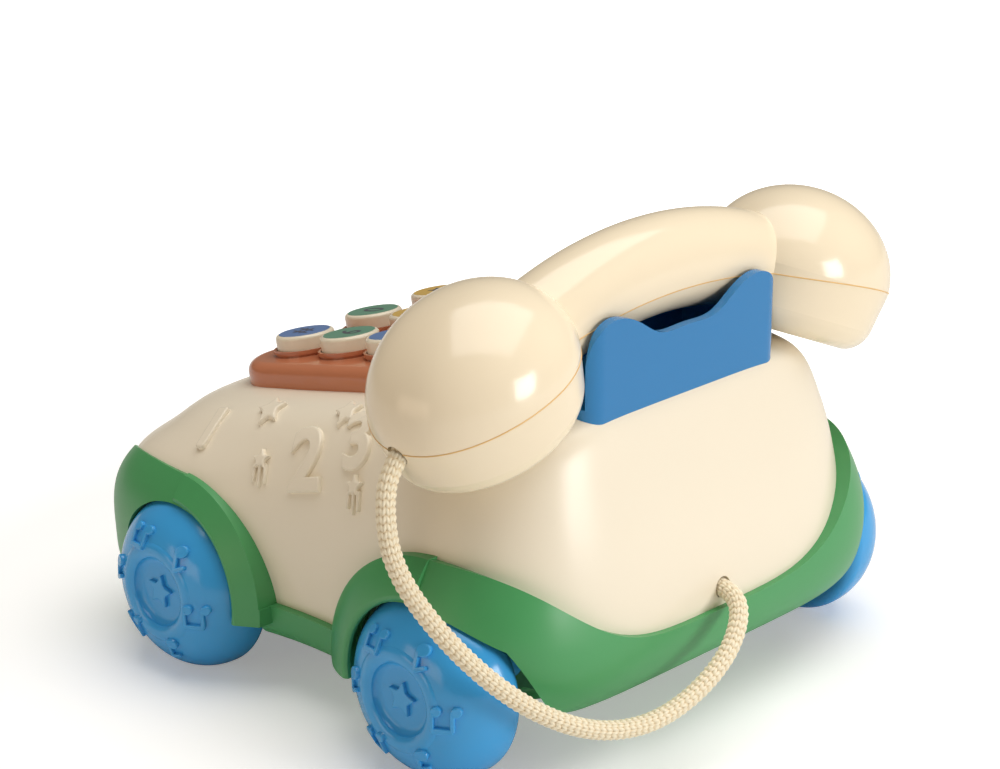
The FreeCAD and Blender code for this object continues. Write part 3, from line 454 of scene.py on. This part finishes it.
def ranged(tree, value, low, high, limits=(0.3, 0.7)):
    spread = tree.nodes.new("ShaderNodeMapRange")
    spread.inputs["From Min"].default_value = limits[0]
    spread.inputs["From Max"].default_value = limits[1]
    spread.inputs["To Min"].default_value = low
    spread.inputs["To Max"].default_value = high
    tree.links.new(value, spread.inputs["Value"])
    return spread.outputs["Result"]


def bumped(tree, height, strength, distance):
    bump = tree.nodes.new("ShaderNodeBump")
    bump.inputs["Strength"].default_value = strength
    bump.inputs["Distance"].default_value = distance
    tree.links.new(height, bump.inputs["Height"])
    return bump.outputs["Normal"]


def blank_material(name):
    material = bpy.data.materials.new(name)
    material.use_nodes = True
    tree = material.node_tree
    shader = tree.nodes["Principled BSDF"]
    place = tree.nodes.new("ShaderNodeTexCoord").outputs["Object"]
    return material, tree, shader, place


def moulded_plastic(name, colour, roughness, mottle=0.02, grain=0.03, shine=0.5):
    """Injection-moulded plastic: faint flow mottling, orange-peel gloss and a fine grain."""
    material, tree, shader, place = blank_material(name)
    flow = noise(tree, place, *FLOW_MARKS)
    peel = noise(tree, place, *ORANGE_PEEL)
    fine = noise(tree, place, *FINE_GRAIN)
    gloss = ranged(tree, peel, roughness - GLOSS_VARIES, roughness + GLOSS_VARIES)
    tint = mixed_colour(tree, flow, shade(colour, 1 - mottle), shade(colour, 1 + mottle))
    tree.links.new(tint, shader.inputs["Base Color"])
    tree.links.new(gloss, shader.inputs["Roughness"])
    tree.links.new(bumped(tree, fine, grain, GRAIN_DEPTH), shader.inputs["Normal"])
    shader.inputs["IOR"].default_value = 1.5
    shader.inputs["Specular IOR Level"].default_value = shine
    return material


def plated_steel(name, colour):
    material, tree, shader, place = blank_material(name)
    streak = noise(tree, place, *STEEL_STREAKS)
    tint = mixed_colour(tree, streak, shade(colour, 0.9), shade(colour, 1.08))
    tree.links.new(tint, shader.inputs["Base Color"])
    tree.links.new(ranged(tree, streak, 0.25, 0.4), shader.inputs["Roughness"])
    tree.links.new(bumped(tree, streak, 0.1, GRAIN_DEPTH), shader.inputs["Normal"])
    shader.inputs["Metallic"].default_value = 1.0
    return material


def knitted_yarn(name, colour, painted_shade_colour):
    """Soft cotton yarn with fine fibres, with painted shade, warmer and darker, down between the
    stitches.
    """
    material, tree, shader, place = blank_material(name)
    # Painted shade: the yarn is mixed towards the shade colour by how deep its points lie between the
    # stitches
    depth = tree.nodes.new("ShaderNodeAttribute")
    depth.attribute_name = "yarn_depth"
    fibres = noise(tree, place, *YARN_FIBRES)
    lit = mixed_colour(tree, fibres, shade(colour, 0.9), shade(colour, 1.06))
    tint = tree.nodes.new("ShaderNodeMix")
    tint.data_type = "RGBA"
    tint.inputs["B"].default_value = (*painted_shade_colour[:3], 1.0)
    tree.links.new(depth.outputs["Fac"], tint.inputs["Factor"])
    tree.links.new(lit, tint.inputs["A"])
    tree.links.new(tint.outputs["Result"], shader.inputs["Base Color"])
    tree.links.new(ranged(tree, fibres, 0.6, 0.85), shader.inputs["Roughness"])
    tree.links.new(bumped(tree, fibres, 0.4, FIBRE_DEPTH), shader.inputs["Normal"])
    shader.inputs["Sheen Weight"].default_value = 0.25
    shader.inputs["Sheen Roughness"].default_value = 0.4
    return material


# Settings that a user may change
class ToyPhoneColours(bpy.types.PropertyGroup):
    """Colours of the plastics, prints and cord."""
    body: bpy.props.FloatVectorProperty(
        name="Body", description="Cream of the body shell",
        subtype="COLOR", default=(0.88, 0.80, 0.65))
    handset: bpy.props.FloatVectorProperty(
        name="Handset", description="Warm cream of the handset",
        subtype="COLOR", default=(0.90, 0.78, 0.58))
    chassis: bpy.props.FloatVectorProperty(
        name="Chassis", description="Green of the chassis",
        subtype="COLOR", default=(0.07, 0.335, 0.115))
    cradle: bpy.props.FloatVectorProperty(
        name="Cradle", description="Blue of the cradle",
        subtype="COLOR", default=(0.018, 0.20, 0.48))
    wheel: bpy.props.FloatVectorProperty(
        name="Wheels", description="Blue of the wheels",
        subtype="COLOR", default=(0.05, 0.37, 0.78))
    panel: bpy.props.FloatVectorProperty(
        name="Keypad panel", description="Terracotta of the panel",
        subtype="COLOR", default=(0.55, 0.20, 0.10))
    key: bpy.props.FloatVectorProperty(
        name="Key caps", description="Cream of the key caps",
        subtype="COLOR", default=(0.86, 0.78, 0.62))
    cord: bpy.props.FloatVectorProperty(
        name="Cord", description="Cream of the yarn",
        subtype="COLOR", default=(0.95, 0.87, 0.68))
    # Colour of the painted shade on the yarn down between the stitches
    cord_hollow: bpy.props.FloatVectorProperty(
        name="Cord painted shade", description="Yarn between the stitches",
        subtype="COLOR", default=(0.68, 0.49, 0.24))
    seam: bpy.props.FloatVectorProperty(
        name="Handset seam", description="Light through the seam of the handset",
        subtype="COLOR", default=(0.78, 0.50, 0.20))
    disc_blue: bpy.props.FloatVectorProperty(
        name="Blue discs", description="Blue print on the keys",
        subtype="COLOR", default=(0.09, 0.20, 0.46))
    disc_green: bpy.props.FloatVectorProperty(
        name="Green discs", description="Green print on the keys",
        subtype="COLOR", default=(0.10, 0.29, 0.19))
    disc_yellow: bpy.props.FloatVectorProperty(
        name="Yellow discs", description="Yellow print on the keys",
        subtype="COLOR", default=(0.66, 0.42, 0.08))
    ink: bpy.props.FloatVectorProperty(
        name="Ink", description="Dark print of the digits",
        subtype="COLOR", default=(0.06, 0.06, 0.09))
    steel: bpy.props.FloatVectorProperty(
        name="Screws", description="Plated steel",
        subtype="COLOR", default=(0.62, 0.62, 0.60))
    floor: bpy.props.FloatVectorProperty(
        name="Floor", description="White of the floor",
        subtype="COLOR", default=(0.9, 0.9, 0.9))


class ToyPhoneSizes(bpy.types.PropertyGroup):
    """Sizes of the pieces that are added to the frame."""
    cord_diameter: bpy.props.FloatProperty(
        name="Cord diameter", description="Thickness of the knitted cord",
        default=0.0055, unit="LENGTH")
    stitch_pitch: bpy.props.FloatProperty(
        name="Stitch pitch", description="Length of one stitch along the cord",
        default=0.0020, unit="LENGTH")
    seam_width: bpy.props.FloatProperty(
        name="Seam width", description="Width of the line along the handset's seam",
        default=0.0004, unit="LENGTH")
    disc_radius: bpy.props.FloatProperty(
        name="Disc radius", description="Radius of the coloured disc on a key",
        default=0.0077, unit="LENGTH")
    disc_thickness: bpy.props.FloatProperty(
        name="Disc thickness", description="How far the disc stands above the cap",
        default=0.00012, unit="LENGTH")
    mark_height: bpy.props.FloatProperty(
        name="Mark height", description="Height of a digit on a key",
        default=0.0075, unit="LENGTH")


# Cord
def cord_line():
    """Points of the cord's centre line, read from a smooth spline through its route."""
    curve = bpy.data.curves.new("cord_route", "CURVE")
    curve.dimensions = "3D"
    curve.resolution_u = CORD_STEPS
    spline = curve.splines.new("NURBS")
    spline.points.add(len(CORD_ROUTE) - 1)
    for point, place in zip(spline.points, CORD_ROUTE):
        point.co = (*place, 1.0)
    spline.order_u = 3
    spline.use_endpoint_u = True
    holder = bpy.data.objects.new("cord_route", curve)
    bpy.context.scene.collection.objects.link(holder)
    line = bpy.data.meshes.new_from_object(holder)
    points = [v.co.copy() for v in line.vertices]
    bpy.data.meshes.remove(line)
    bpy.data.objects.remove(holder)
    bpy.data.curves.remove(curve)
    return points


class Track:
    """A line with a frame that doesn't twist, to lay stitches along."""

    def __init__(self, points):
        self.points = points
        self.far = [0.0]
        for a, b in zip(points, points[1:]):
            self.far.append(self.far[-1] + (b - a).length)
        self.length = self.far[-1]
        ways = [(b - a).normalized() for a, b in zip(points, points[1:])]
        ways.append(ways[-1])
        side = ways[0].orthogonal().normalized()
        self.ways = ways
        self.sides = [side]
        for a, b in zip(ways, ways[1:]):
            side = a.rotation_difference(b) @ side
            side = (side - b * side.dot(b)).normalized()
            self.sides.append(side)

    def at(self, s):
        """Point, heading and side at a distance along the line."""
        s = min(max(s, 0.0), self.length)
        i = bisect_right(self.far, s, 0, len(self.far) - 1) - 1
        span = self.far[i + 1] - self.far[i]
        share = (s - self.far[i]) / span if span else 0.0
        point = self.points[i].lerp(self.points[i + 1], share)
        way = self.ways[i].lerp(self.ways[i + 1], share).normalized()
        side = self.sides[i].lerp(self.sides[i + 1], share)
        side = (side - way * side.dot(way)).normalized()
        return point, way, side

    def on_surface(self, s, turn, radius):
        point, way, side = self.at(s)
        out = side * math.cos(turn) + way.cross(side) * math.sin(turn)
        return point + out * radius


def close_tube(first, rings, sides, faces):
    """Faces round a row of rings of points, with a cap at each end."""
    for i in range(rings - 1):
        for k in range(sides):
            a = first + i * sides + k
            b = first + i * sides + (k + 1) % sides
            faces.append((a, b, b + sides, a + sides))
    last = first + (rings - 1) * sides
    faces.append(tuple(first + k for k in reversed(range(sides))))
    faces.append(tuple(last + k for k in range(sides)))


def core_tube(track, radius, points, faces, painted_shade_shares):
    """Round core that fills the cord under its stitches."""
    first = len(points)
    for i in range(CORE_RINGS + 1):
        for k in range(CORE_SIDES):
            turn = 2 * math.pi * k / CORE_SIDES
            points.append(track.on_surface(track.length * i / CORE_RINGS, turn, radius))
            # The core lies deepest and takes the full painted shade
            painted_shade_shares.append(1.0)
    close_tube(first, CORE_RINGS + 1, CORE_SIDES, faces)


def between(ends, share):
    return ends[0] + (ends[1] - ends[0]) * share


def stitch_leg(track, start, turn, pitch, width, lean, radius, points, faces, painted_shade_shares):
    """One leg of a stitch: a bulge of yarn that rises from under one stitch and dips under the next."""
    first = len(points)
    thick = width * YARN_THICK
    for i in range(YARN_RINGS):
        share = i / (YARN_RINGS - 1)
        rise = math.sin(math.pi * share)
        lift = radius - thick + thick * YARN_DIP * (rise - 1.0)
        girth = thick * (END_GIRTH + (1 - END_GIRTH) * rise)
        angle = turn + lean * between(LEG_ACROSS, share) * width / radius
        point, way, side = track.at(start + pitch * between(LEG_ALONG, share))
        out = side * math.cos(angle) + way.cross(side) * math.sin(angle)
        tangent = way.cross(out)
        for k in range(YARN_SIDES):
            roll = 2 * math.pi * k / YARN_SIDES
            up = out * (lift + girth * math.cos(roll))
            points.append(point + up + tangent * (girth * math.sin(roll)))
            # Painted shade: darker at the ends of a leg and on its underside, where it dips under the
            # stitches
            painted_shade_shares.append(HOLLOW_SHADE * (1 - rise * (1 + math.cos(roll)) / 2))
    close_tube(first, YARN_RINGS, YARN_SIDES, faces)


class TOYPHONE_OT_cord(bpy.types.Operator):
    """Knits the cord along its route"""
    bl_idname = "toy_phone.cord"
    bl_label = "Knitted cord"

    def execute(self, context):
        colours = context.scene.toy_phone_colours
        sizes = context.scene.toy_phone_sizes
        radius = sizes.cord_diameter / 2
        line = cord_line()
        track = Track(line)
        points, faces, painted_shade_shares = [], [], []
        core_tube(track, radius * CORE_SHARE, points, faces, painted_shade_shares)
        width = 2 * math.pi * radius / WALES / 2
        rows = int(track.length / sizes.stitch_pitch)
        for row in range(rows):
            for wale in range(WALES):
                turn = 2 * math.pi * wale / WALES
                for lean in (1, -1):
                    stitch_leg(track, row * sizes.stitch_pitch, turn, sizes.stitch_pitch, width, lean,
                               radius, points, faces, painted_shade_shares)
        cord = mesh_piece("knitted_cord", points, faces)
        # Painted shade of the hollows, kept as a share on each point
        depth = cord.data.attributes.new("yarn_depth", "FLOAT", "POINT")
        depth.data.foreach_set("value", painted_shade_shares)
        paint(cord, knitted_yarn("cord_yarn", colours.cord, colours.cord_hollow))
        smooth(cord, CORD_SMOOTH)
        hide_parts("cord")
        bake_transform(cord)
        return {"FINISHED"}


# Seam of the handset, drawn as a warm line of painted light
def seam_edges():
    """Edges where the outside of the lower shell meets the seam between the two shells."""
    mesh = frame["nodes"]["handset_lower_shell"].data
    surface = surface_of("handset_lower_shell")
    reaches = [math.hypot(vertex.co.x, vertex.co.z - SEAM_AXIS_Z) for vertex in mesh.vertices]
    on_seam = [abs(reach - SEAM_R) < SEAM_TOUCH for reach in reaches]
    edges = []
    for face in mesh.polygons:
        ends = [mesh.vertices[i].co for i in face.vertices if on_seam[i]]
        if len(ends) != 2:
            continue
        start = (ends[0] + ends[1]) / 2 + face.normal * SEAM_CLEAR
        if surface.ray_cast(start, face.normal, SEAM_REACH)[0] is None:
            edges.append((ends[0].copy(), ends[1].copy()))
    return edges


class TOYPHONE_OT_seam(bpy.types.Operator):
    """Draws a warm line of painted light, light glowing through the plastic, along the seam of the
    handset
    """
    bl_idname = "toy_phone.seam"
    bl_label = "Handset seam"

    def execute(self, context):
        edges = seam_edges()
        if not edges:
            raise RuntimeError("the handset has no seam")
        mesh = bpy.data.meshes.new("handset_seam")
        ends = [end for edge in edges for end in edge]
        mesh.from_pydata(ends, [(2 * i, 2 * i + 1) for i in range(len(edges))], [])
        line = bpy.data.objects.new("handset_seam", mesh)
        context.scene.collection.objects.link(line)
        pick(line)
        bpy.ops.object.mode_set(mode="EDIT")
        bpy.ops.mesh.select_all(action="SELECT")
        bpy.ops.mesh.remove_doubles(threshold=SEAM_TOUCH)
        bpy.ops.object.mode_set(mode="OBJECT")
        bpy.ops.object.convert(target="CURVE")
        line.data.bevel_depth = context.scene.toy_phone_sizes.seam_width / 2
        line.data.bevel_resolution = 1
        line = as_mesh(line)
        # Painted light: a warm line that stands for light glowing through the plastic at the seam
        paint(line, moulded_plastic("seam_warm_line", context.scene.toy_phone_colours.seam, 0.4))
        smooth(line, SEAM_SMOOTH)
        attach(line, "handset")
        return {"FINISHED"}


# Raised digits, stars and notes on the body
def side_motif(what, name, height):
    if what == "1":
        outline = bar_outline((0, -0.5), (0, 0.5), *ONE_WIDTHS)
        return flat_solid(name, grown(outline, height), SIDE_RISE, SIDE_EDGE)
    if what == "star":
        star = raised_star(name, height, SIDE_RISE, SIDE_EDGE)
        for vertex in star.data.vertices:
            vertex.co.y *= STAR_STRETCH
        return star
    if what == "shooting":
        return shooting_star(name, height, SIDE_RISE, SIDE_EDGE)
    if what == "note":
        return raised_note(name, "single", height, SIDE_RISE, SIDE_EDGE)
    return raised_digit(name, what, height, SIDE_RISE, SIDE_EDGE, SIDE_BOLDNESS)


class TOYPHONE_OT_side_motifs(bpy.types.Operator):
    """Raises the digits, stars and notes on both sides of the body"""
    bl_idname = "toy_phone.side_motifs"
    bl_label = "Side motifs"

    def execute(self, context):
        surface = surface_of("body_shell")
        for word, side in SIDES:
            pieces = []
            for i, (what, near, lean, height) in enumerate(SIDE_MOTIFS):
                mark = what if side > 0 else RIGHT_SIDE.get(what, what)
                piece = side_motif(mark, word + "_motif_" + str(i), height)
                place = (near[0] * side, near[1], near[2])
                lay_on(piece, surface, place, lean * side)
                pieces.append(piece)
            motifs = joined(word + "_side_motifs", pieces)
            paint(motifs, bpy.data.materials["body_cream_plastic"])
            smooth(motifs, MOTIF_SMOOTH)
            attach(motifs, "base")
        return {"FINISHED"}


class TOYPHONE_OT_wheel_motifs(bpy.types.Operator):
    """Raises a star in each hub and notes round each wheel"""
    bl_idname = "toy_phone.wheel_motifs"
    bl_label = "Wheel motifs"

    def execute(self, context):
        for end, axle_y in AXLES.items():
            for word, side in SIDES:
                node = end + "_" + word + "_wheel"
                surface = surface_of(node)
                hub = Vector((side * WHEEL_FACE, axle_y, WHEEL_R))
                star = raised_star(node + "_star", HUB_STAR, WHEEL_RISE, WHEEL_EDGE)
                lay_on(star, surface, hub, HUB_STAR_LEAN * side)
                pieces = [star]
                for i, kind in enumerate(NOTES):
                    turn = math.radians(NOTE_FIRST[end] + 360 * i / len(NOTES))
                    name = node + "_note_" + str(i)
                    note = raised_note(name, kind, NOTE_HEIGHTS[kind], WHEEL_RISE, WHEEL_EDGE)
                    around = Vector((0, -side * math.cos(turn), math.sin(turn)))
                    lay_on(note, surface, hub + around * NOTE_RADIUS, 0)
                    pieces.append(note)
                motifs = joined(node + "_motifs", pieces)
                paint(motifs, bpy.data.materials["wheel_blue_plastic"])
                smooth(motifs, MOTIF_SMOOTH)
                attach(motifs, end + "_wheelset")
        return {"FINISHED"}


# Printed key tops
def key_frame(row, column):
    """Frame on top of a key: X across, Y up the slope, Z out."""
    place = Matrix.Translation(KEYPAD_AT) @ Matrix.Rotation(KEYPAD_SLOPE, 4, "X")
    return place @ Matrix.Translation((KEY_COLUMNS[column], KEY_TOP_ROW - KEY_PITCH * row, KEY_TOP))


def printed_disc(name, radius, thickness):
    """Thin inlaid disc with a softened rim."""
    deselect_all()
    bpy.ops.mesh.primitive_circle_add(vertices=DISC_VERTICES, radius=radius, fill_type="NGON")
    disc = bpy.context.object
    disc.name = name
    disc.data.name = name
    bpy.ops.object.mode_set(mode="EDIT")
    bpy.ops.mesh.select_all(action="SELECT")
    bpy.ops.mesh.extrude_region_move(TRANSFORM_OT_translate={"value": (0, 0, thickness * DISC_WALL)})
    bpy.ops.mesh.inset(thickness=thickness * DISC_WALL, depth=thickness * (1 - DISC_WALL))
    bpy.ops.mesh.select_all(action="SELECT")
    bpy.ops.mesh.normals_make_consistent(inside=False)
    bpy.ops.object.mode_set(mode="OBJECT")
    return disc


def key_print(name, mark, height, thickness):
    if mark == "star":
        return flat_solid(name, star_outline(height / 2, height * KEY_STAR_WAIST), thickness, 0.0)
    sign = "#" if mark == "hash" else mark
    return raised_digit(name, sign, height, thickness, 0.0, KEY_BOLDNESS)


class TOYPHONE_OT_key_tops(bpy.types.Operator):
    """Inlays a coloured disc in each key and prints its mark"""
    bl_idname = "toy_phone.key_tops"
    bl_label = "Printed key tops"

    def execute(self, context):
        colours = context.scene.toy_phone_colours
        sizes = context.scene.toy_phone_sizes
        tints = {word: moulded_plastic("disc_" + word, getattr(colours, "disc_" + word), 0.3)
                 for word in ("blue", "green", "yellow")}
        ink = moulded_plastic("dark_ink", colours.ink, 0.35)
        for row, marks in enumerate(KEY_MARKS):
            for column, mark in enumerate(marks):
                place = key_frame(row, column)
                disc = printed_disc("disc_" + mark, sizes.disc_radius, sizes.disc_thickness)
                disc.data.transform(place)
                paint(disc, tints[DISC_TINTS[row % 2][column]])
                smooth(disc, DISC_SMOOTH)
                sign = key_print("mark_" + mark, mark, sizes.mark_height, sizes.disc_thickness)
                raise_flat(sign, sizes.disc_thickness + INK_RISE)
                sign.data.transform(place)
                paint(sign, ink)
                for piece in (disc, sign):
                    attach(piece, "key_" + mark)
        return {"FINISHED"}


# Finishes of the nodes that keep their CAD shape
class TOYPHONE_OT_finishes(bpy.types.Operator):
    """Gives each moulding and fitting of the frame its material"""
    bl_idname = "toy_phone.finishes"
    bl_label = "Plastics and metals"

    def execute(self, context):
        colours = context.scene.toy_phone_colours
        finishes = {
            "body_cream": moulded_plastic("body_cream_plastic", colours.body, 0.26, shine=0.35),
            "handset_cream": moulded_plastic("handset_cream_plastic", colours.handset, 0.16),
            "chassis_green": moulded_plastic("chassis_green_plastic", colours.chassis, 0.36),
            "moulded_blue": moulded_plastic("cradle_blue_plastic", colours.cradle, 0.13),
            "wheel_blue": moulded_plastic("wheel_blue_plastic", colours.wheel, 0.16),
            "panel_terracotta": moulded_plastic("panel_terracotta_plastic", colours.panel, 0.10),
            "key_cream": moulded_plastic("key_cream_plastic", colours.key, 0.15),
            "cord_knit": moulded_plastic("cord_knot_yarn", colours.cord, 0.8),
            "screw_steel": plated_steel("plated_screws", colours.steel),
            "sleeve_nylon": moulded_plastic("sleeve_nylon_white", NYLON_WHITE, 0.45),
            "mat_rubber": moulded_plastic("key_mat_rubber", RUBBER_GREY, 0.7, grain=0.2),
            "board_laminate": moulded_plastic("board_green_laminate", BOARD_GREEN, 0.4),
            "speaker_frame": moulded_plastic("speaker_black_frame", SPEAKER_BLACK, 0.4),
            "cell_jacket": moulded_plastic("cell_dark_jacket", JACKET_GREY, 0.3),
            "switch_grey": moulded_plastic("switch_black_plastic", SWITCH_BLACK, 0.5),
        }
        for row in frame["record"]["subparts"]:
            paint(frame["nodes"][row["node"]], finishes[row["material_slot"]])
        return {"FINISHED"}


# Stage
def soft_light(name, place, size, power, colour):
    lamp = bpy.data.lights.new(name, "AREA")
    lamp.shape = "RECTANGLE"
    lamp.size, lamp.size_y = size
    lamp.energy = power
    lamp.color = colour
    holder = bpy.data.objects.new(name, lamp)
    bpy.context.scene.collection.objects.link(holder)
    holder.location = place
    holder.rotation_mode = "QUATERNION"
    holder.rotation_quaternion = (Vector(LIGHT_AIM) - Vector(place)).to_track_quat("-Z", "Y")


def white_floor(colour):
    """White floor that takes the shadow and fades into the white background."""
    material = bpy.data.materials.new("white_floor")
    material.use_nodes = True
    tree = material.node_tree
    tree.nodes.clear()
    place = tree.nodes.new("ShaderNodeTexCoord").outputs["Object"]
    speckle = noise(tree, place, *FLOOR_SPECKLE)
    tint = mixed_colour(tree, speckle, shade(colour, 0.99), shade(colour, 1.01))
    matt = tree.nodes.new("ShaderNodeBsdfDiffuse")
    tree.links.new(tint, matt.inputs["Color"])
    glow = tree.nodes.new("ShaderNodeEmission")
    path = tree.nodes.new("ShaderNodeLightPath")
    reach = tree.nodes.new("ShaderNodeVectorMath")
    reach.operation = "LENGTH"
    tree.links.new(place, reach.inputs[0])
    fade = ranged(tree, reach.outputs["Value"], *FLOOR_GLOW, FLOOR_FADE)
    seen = tree.nodes.new("ShaderNodeMath")
    seen.operation = "MULTIPLY"
    tree.links.new(fade, seen.inputs[1])
    tree.links.new(path.outputs["Is Camera Ray"], seen.inputs[0])
    tree.links.new(seen.outputs[0], glow.inputs["Strength"])
    both = tree.nodes.new("ShaderNodeAddShader")
    tree.links.new(matt.outputs[0], both.inputs[0])
    tree.links.new(glow.outputs[0], both.inputs[1])
    out = tree.nodes.new("ShaderNodeOutputMaterial")
    tree.links.new(both.outputs[0], out.inputs["Surface"])
    return material


def white_world(colour, strength):
    """Warm soft fill that the camera sees as plain white."""
    world = bpy.data.worlds.new("white_studio")
    bpy.context.scene.world = world
    world.use_nodes = True
    tree = world.node_tree
    sky = tree.nodes["Background"]
    path = tree.nodes.new("ShaderNodeLightPath")
    light = mixed_colour(tree, path.outputs["Is Camera Ray"], shade(colour, strength), (1, 1, 1, 1))
    tree.links.new(light, sky.inputs["Color"])


class TOYPHONE_OT_stage(bpy.types.Operator):
    """Sets up the camera, the white floor and the soft lights"""
    bl_idname = "toy_phone.stage"
    bl_label = "Camera, floor and lights"

    def execute(self, context):
        scene = context.scene
        colours = scene.toy_phone_colours
        camera = bpy.data.objects.new("camera", bpy.data.cameras.new("camera"))
        scene.collection.objects.link(camera)
        camera.data.sensor_width = SENSOR_WIDTH
        camera.data.lens = SENSOR_WIDTH * FOCAL_PIXELS / PICTURE_WIDTH
        back = Vector((
            math.sin(CAMERA_AZIMUTH) * math.cos(CAMERA_ELEVATION),
            -math.cos(CAMERA_AZIMUTH) * math.cos(CAMERA_ELEVATION),
            math.sin(CAMERA_ELEVATION),
        ))
        camera.location = CAMERA_AT
        camera.rotation_mode = "QUATERNION"
        camera.rotation_quaternion = (-back).to_track_quat("-Z", "Y")
        scene.camera = camera
        h = FLOOR_HALF
        floor = mesh_piece("floor", [(-h, -h, 0), (h, -h, 0), (h, h, 0), (-h, h, 0)], [(0, 1, 2, 3)])
        paint(floor, white_floor(colours.floor))
        white_world(SKY_TINT, SKY_STRENGTH)
        for light in LIGHTS:
            soft_light(*light)
        scene.view_settings.view_transform = "Standard"
        return {"FINISHED"}


class TOYPHONE_PT_panel(bpy.types.Panel):
    """Lists the steps and settings of the toy telephone"""
    bl_idname = "TOYPHONE_PT_panel"
    bl_label = "Toy Telephone"
    bl_space_type = "VIEW_3D"
    bl_region_type = "UI"
    bl_category = "Toy Telephone"

    def draw(self, context):
        for operator in STEPS:
            self.layout.operator(operator.bl_idname)
        for group in (context.scene.toy_phone_colours, context.scene.toy_phone_sizes):
            box = self.layout.box()
            for name in group.bl_rna.properties.keys():
                if name not in ("rna_type", "name"):
                    box.prop(group, name)


STEPS = (
    TOYPHONE_OT_stage, TOYPHONE_OT_cord, TOYPHONE_OT_finishes, TOYPHONE_OT_seam,
    TOYPHONE_OT_side_motifs, TOYPHONE_OT_wheel_motifs, TOYPHONE_OT_key_tops,
)
CLASSES = (ToyPhoneColours, ToyPhoneSizes, *STEPS, TOYPHONE_PT_panel)


def register():
    for entry in CLASSES:
        bpy.utils.register_class(entry)
    bpy.types.Scene.toy_phone_colours = bpy.props.PointerProperty(type=ToyPhoneColours)
    bpy.types.Scene.toy_phone_sizes = bpy.props.PointerProperty(type=ToyPhoneSizes)


def unregister():
    del bpy.types.Scene.toy_phone_sizes
    del bpy.types.Scene.toy_phone_colours
    for entry in reversed(CLASSES):
        bpy.utils.unregister_class(entry)


def main():
    register()
    bpy.ops.toy_phone.stage()
    bpy.ops.toy_phone.cord()
    bpy.ops.toy_phone.finishes()
    bpy.ops.toy_phone.seam()
    bpy.ops.toy_phone.side_motifs()
    bpy.ops.toy_phone.wheel_motifs()
    bpy.ops.toy_phone.key_tops()


if __name__ == "__main__":
    main()
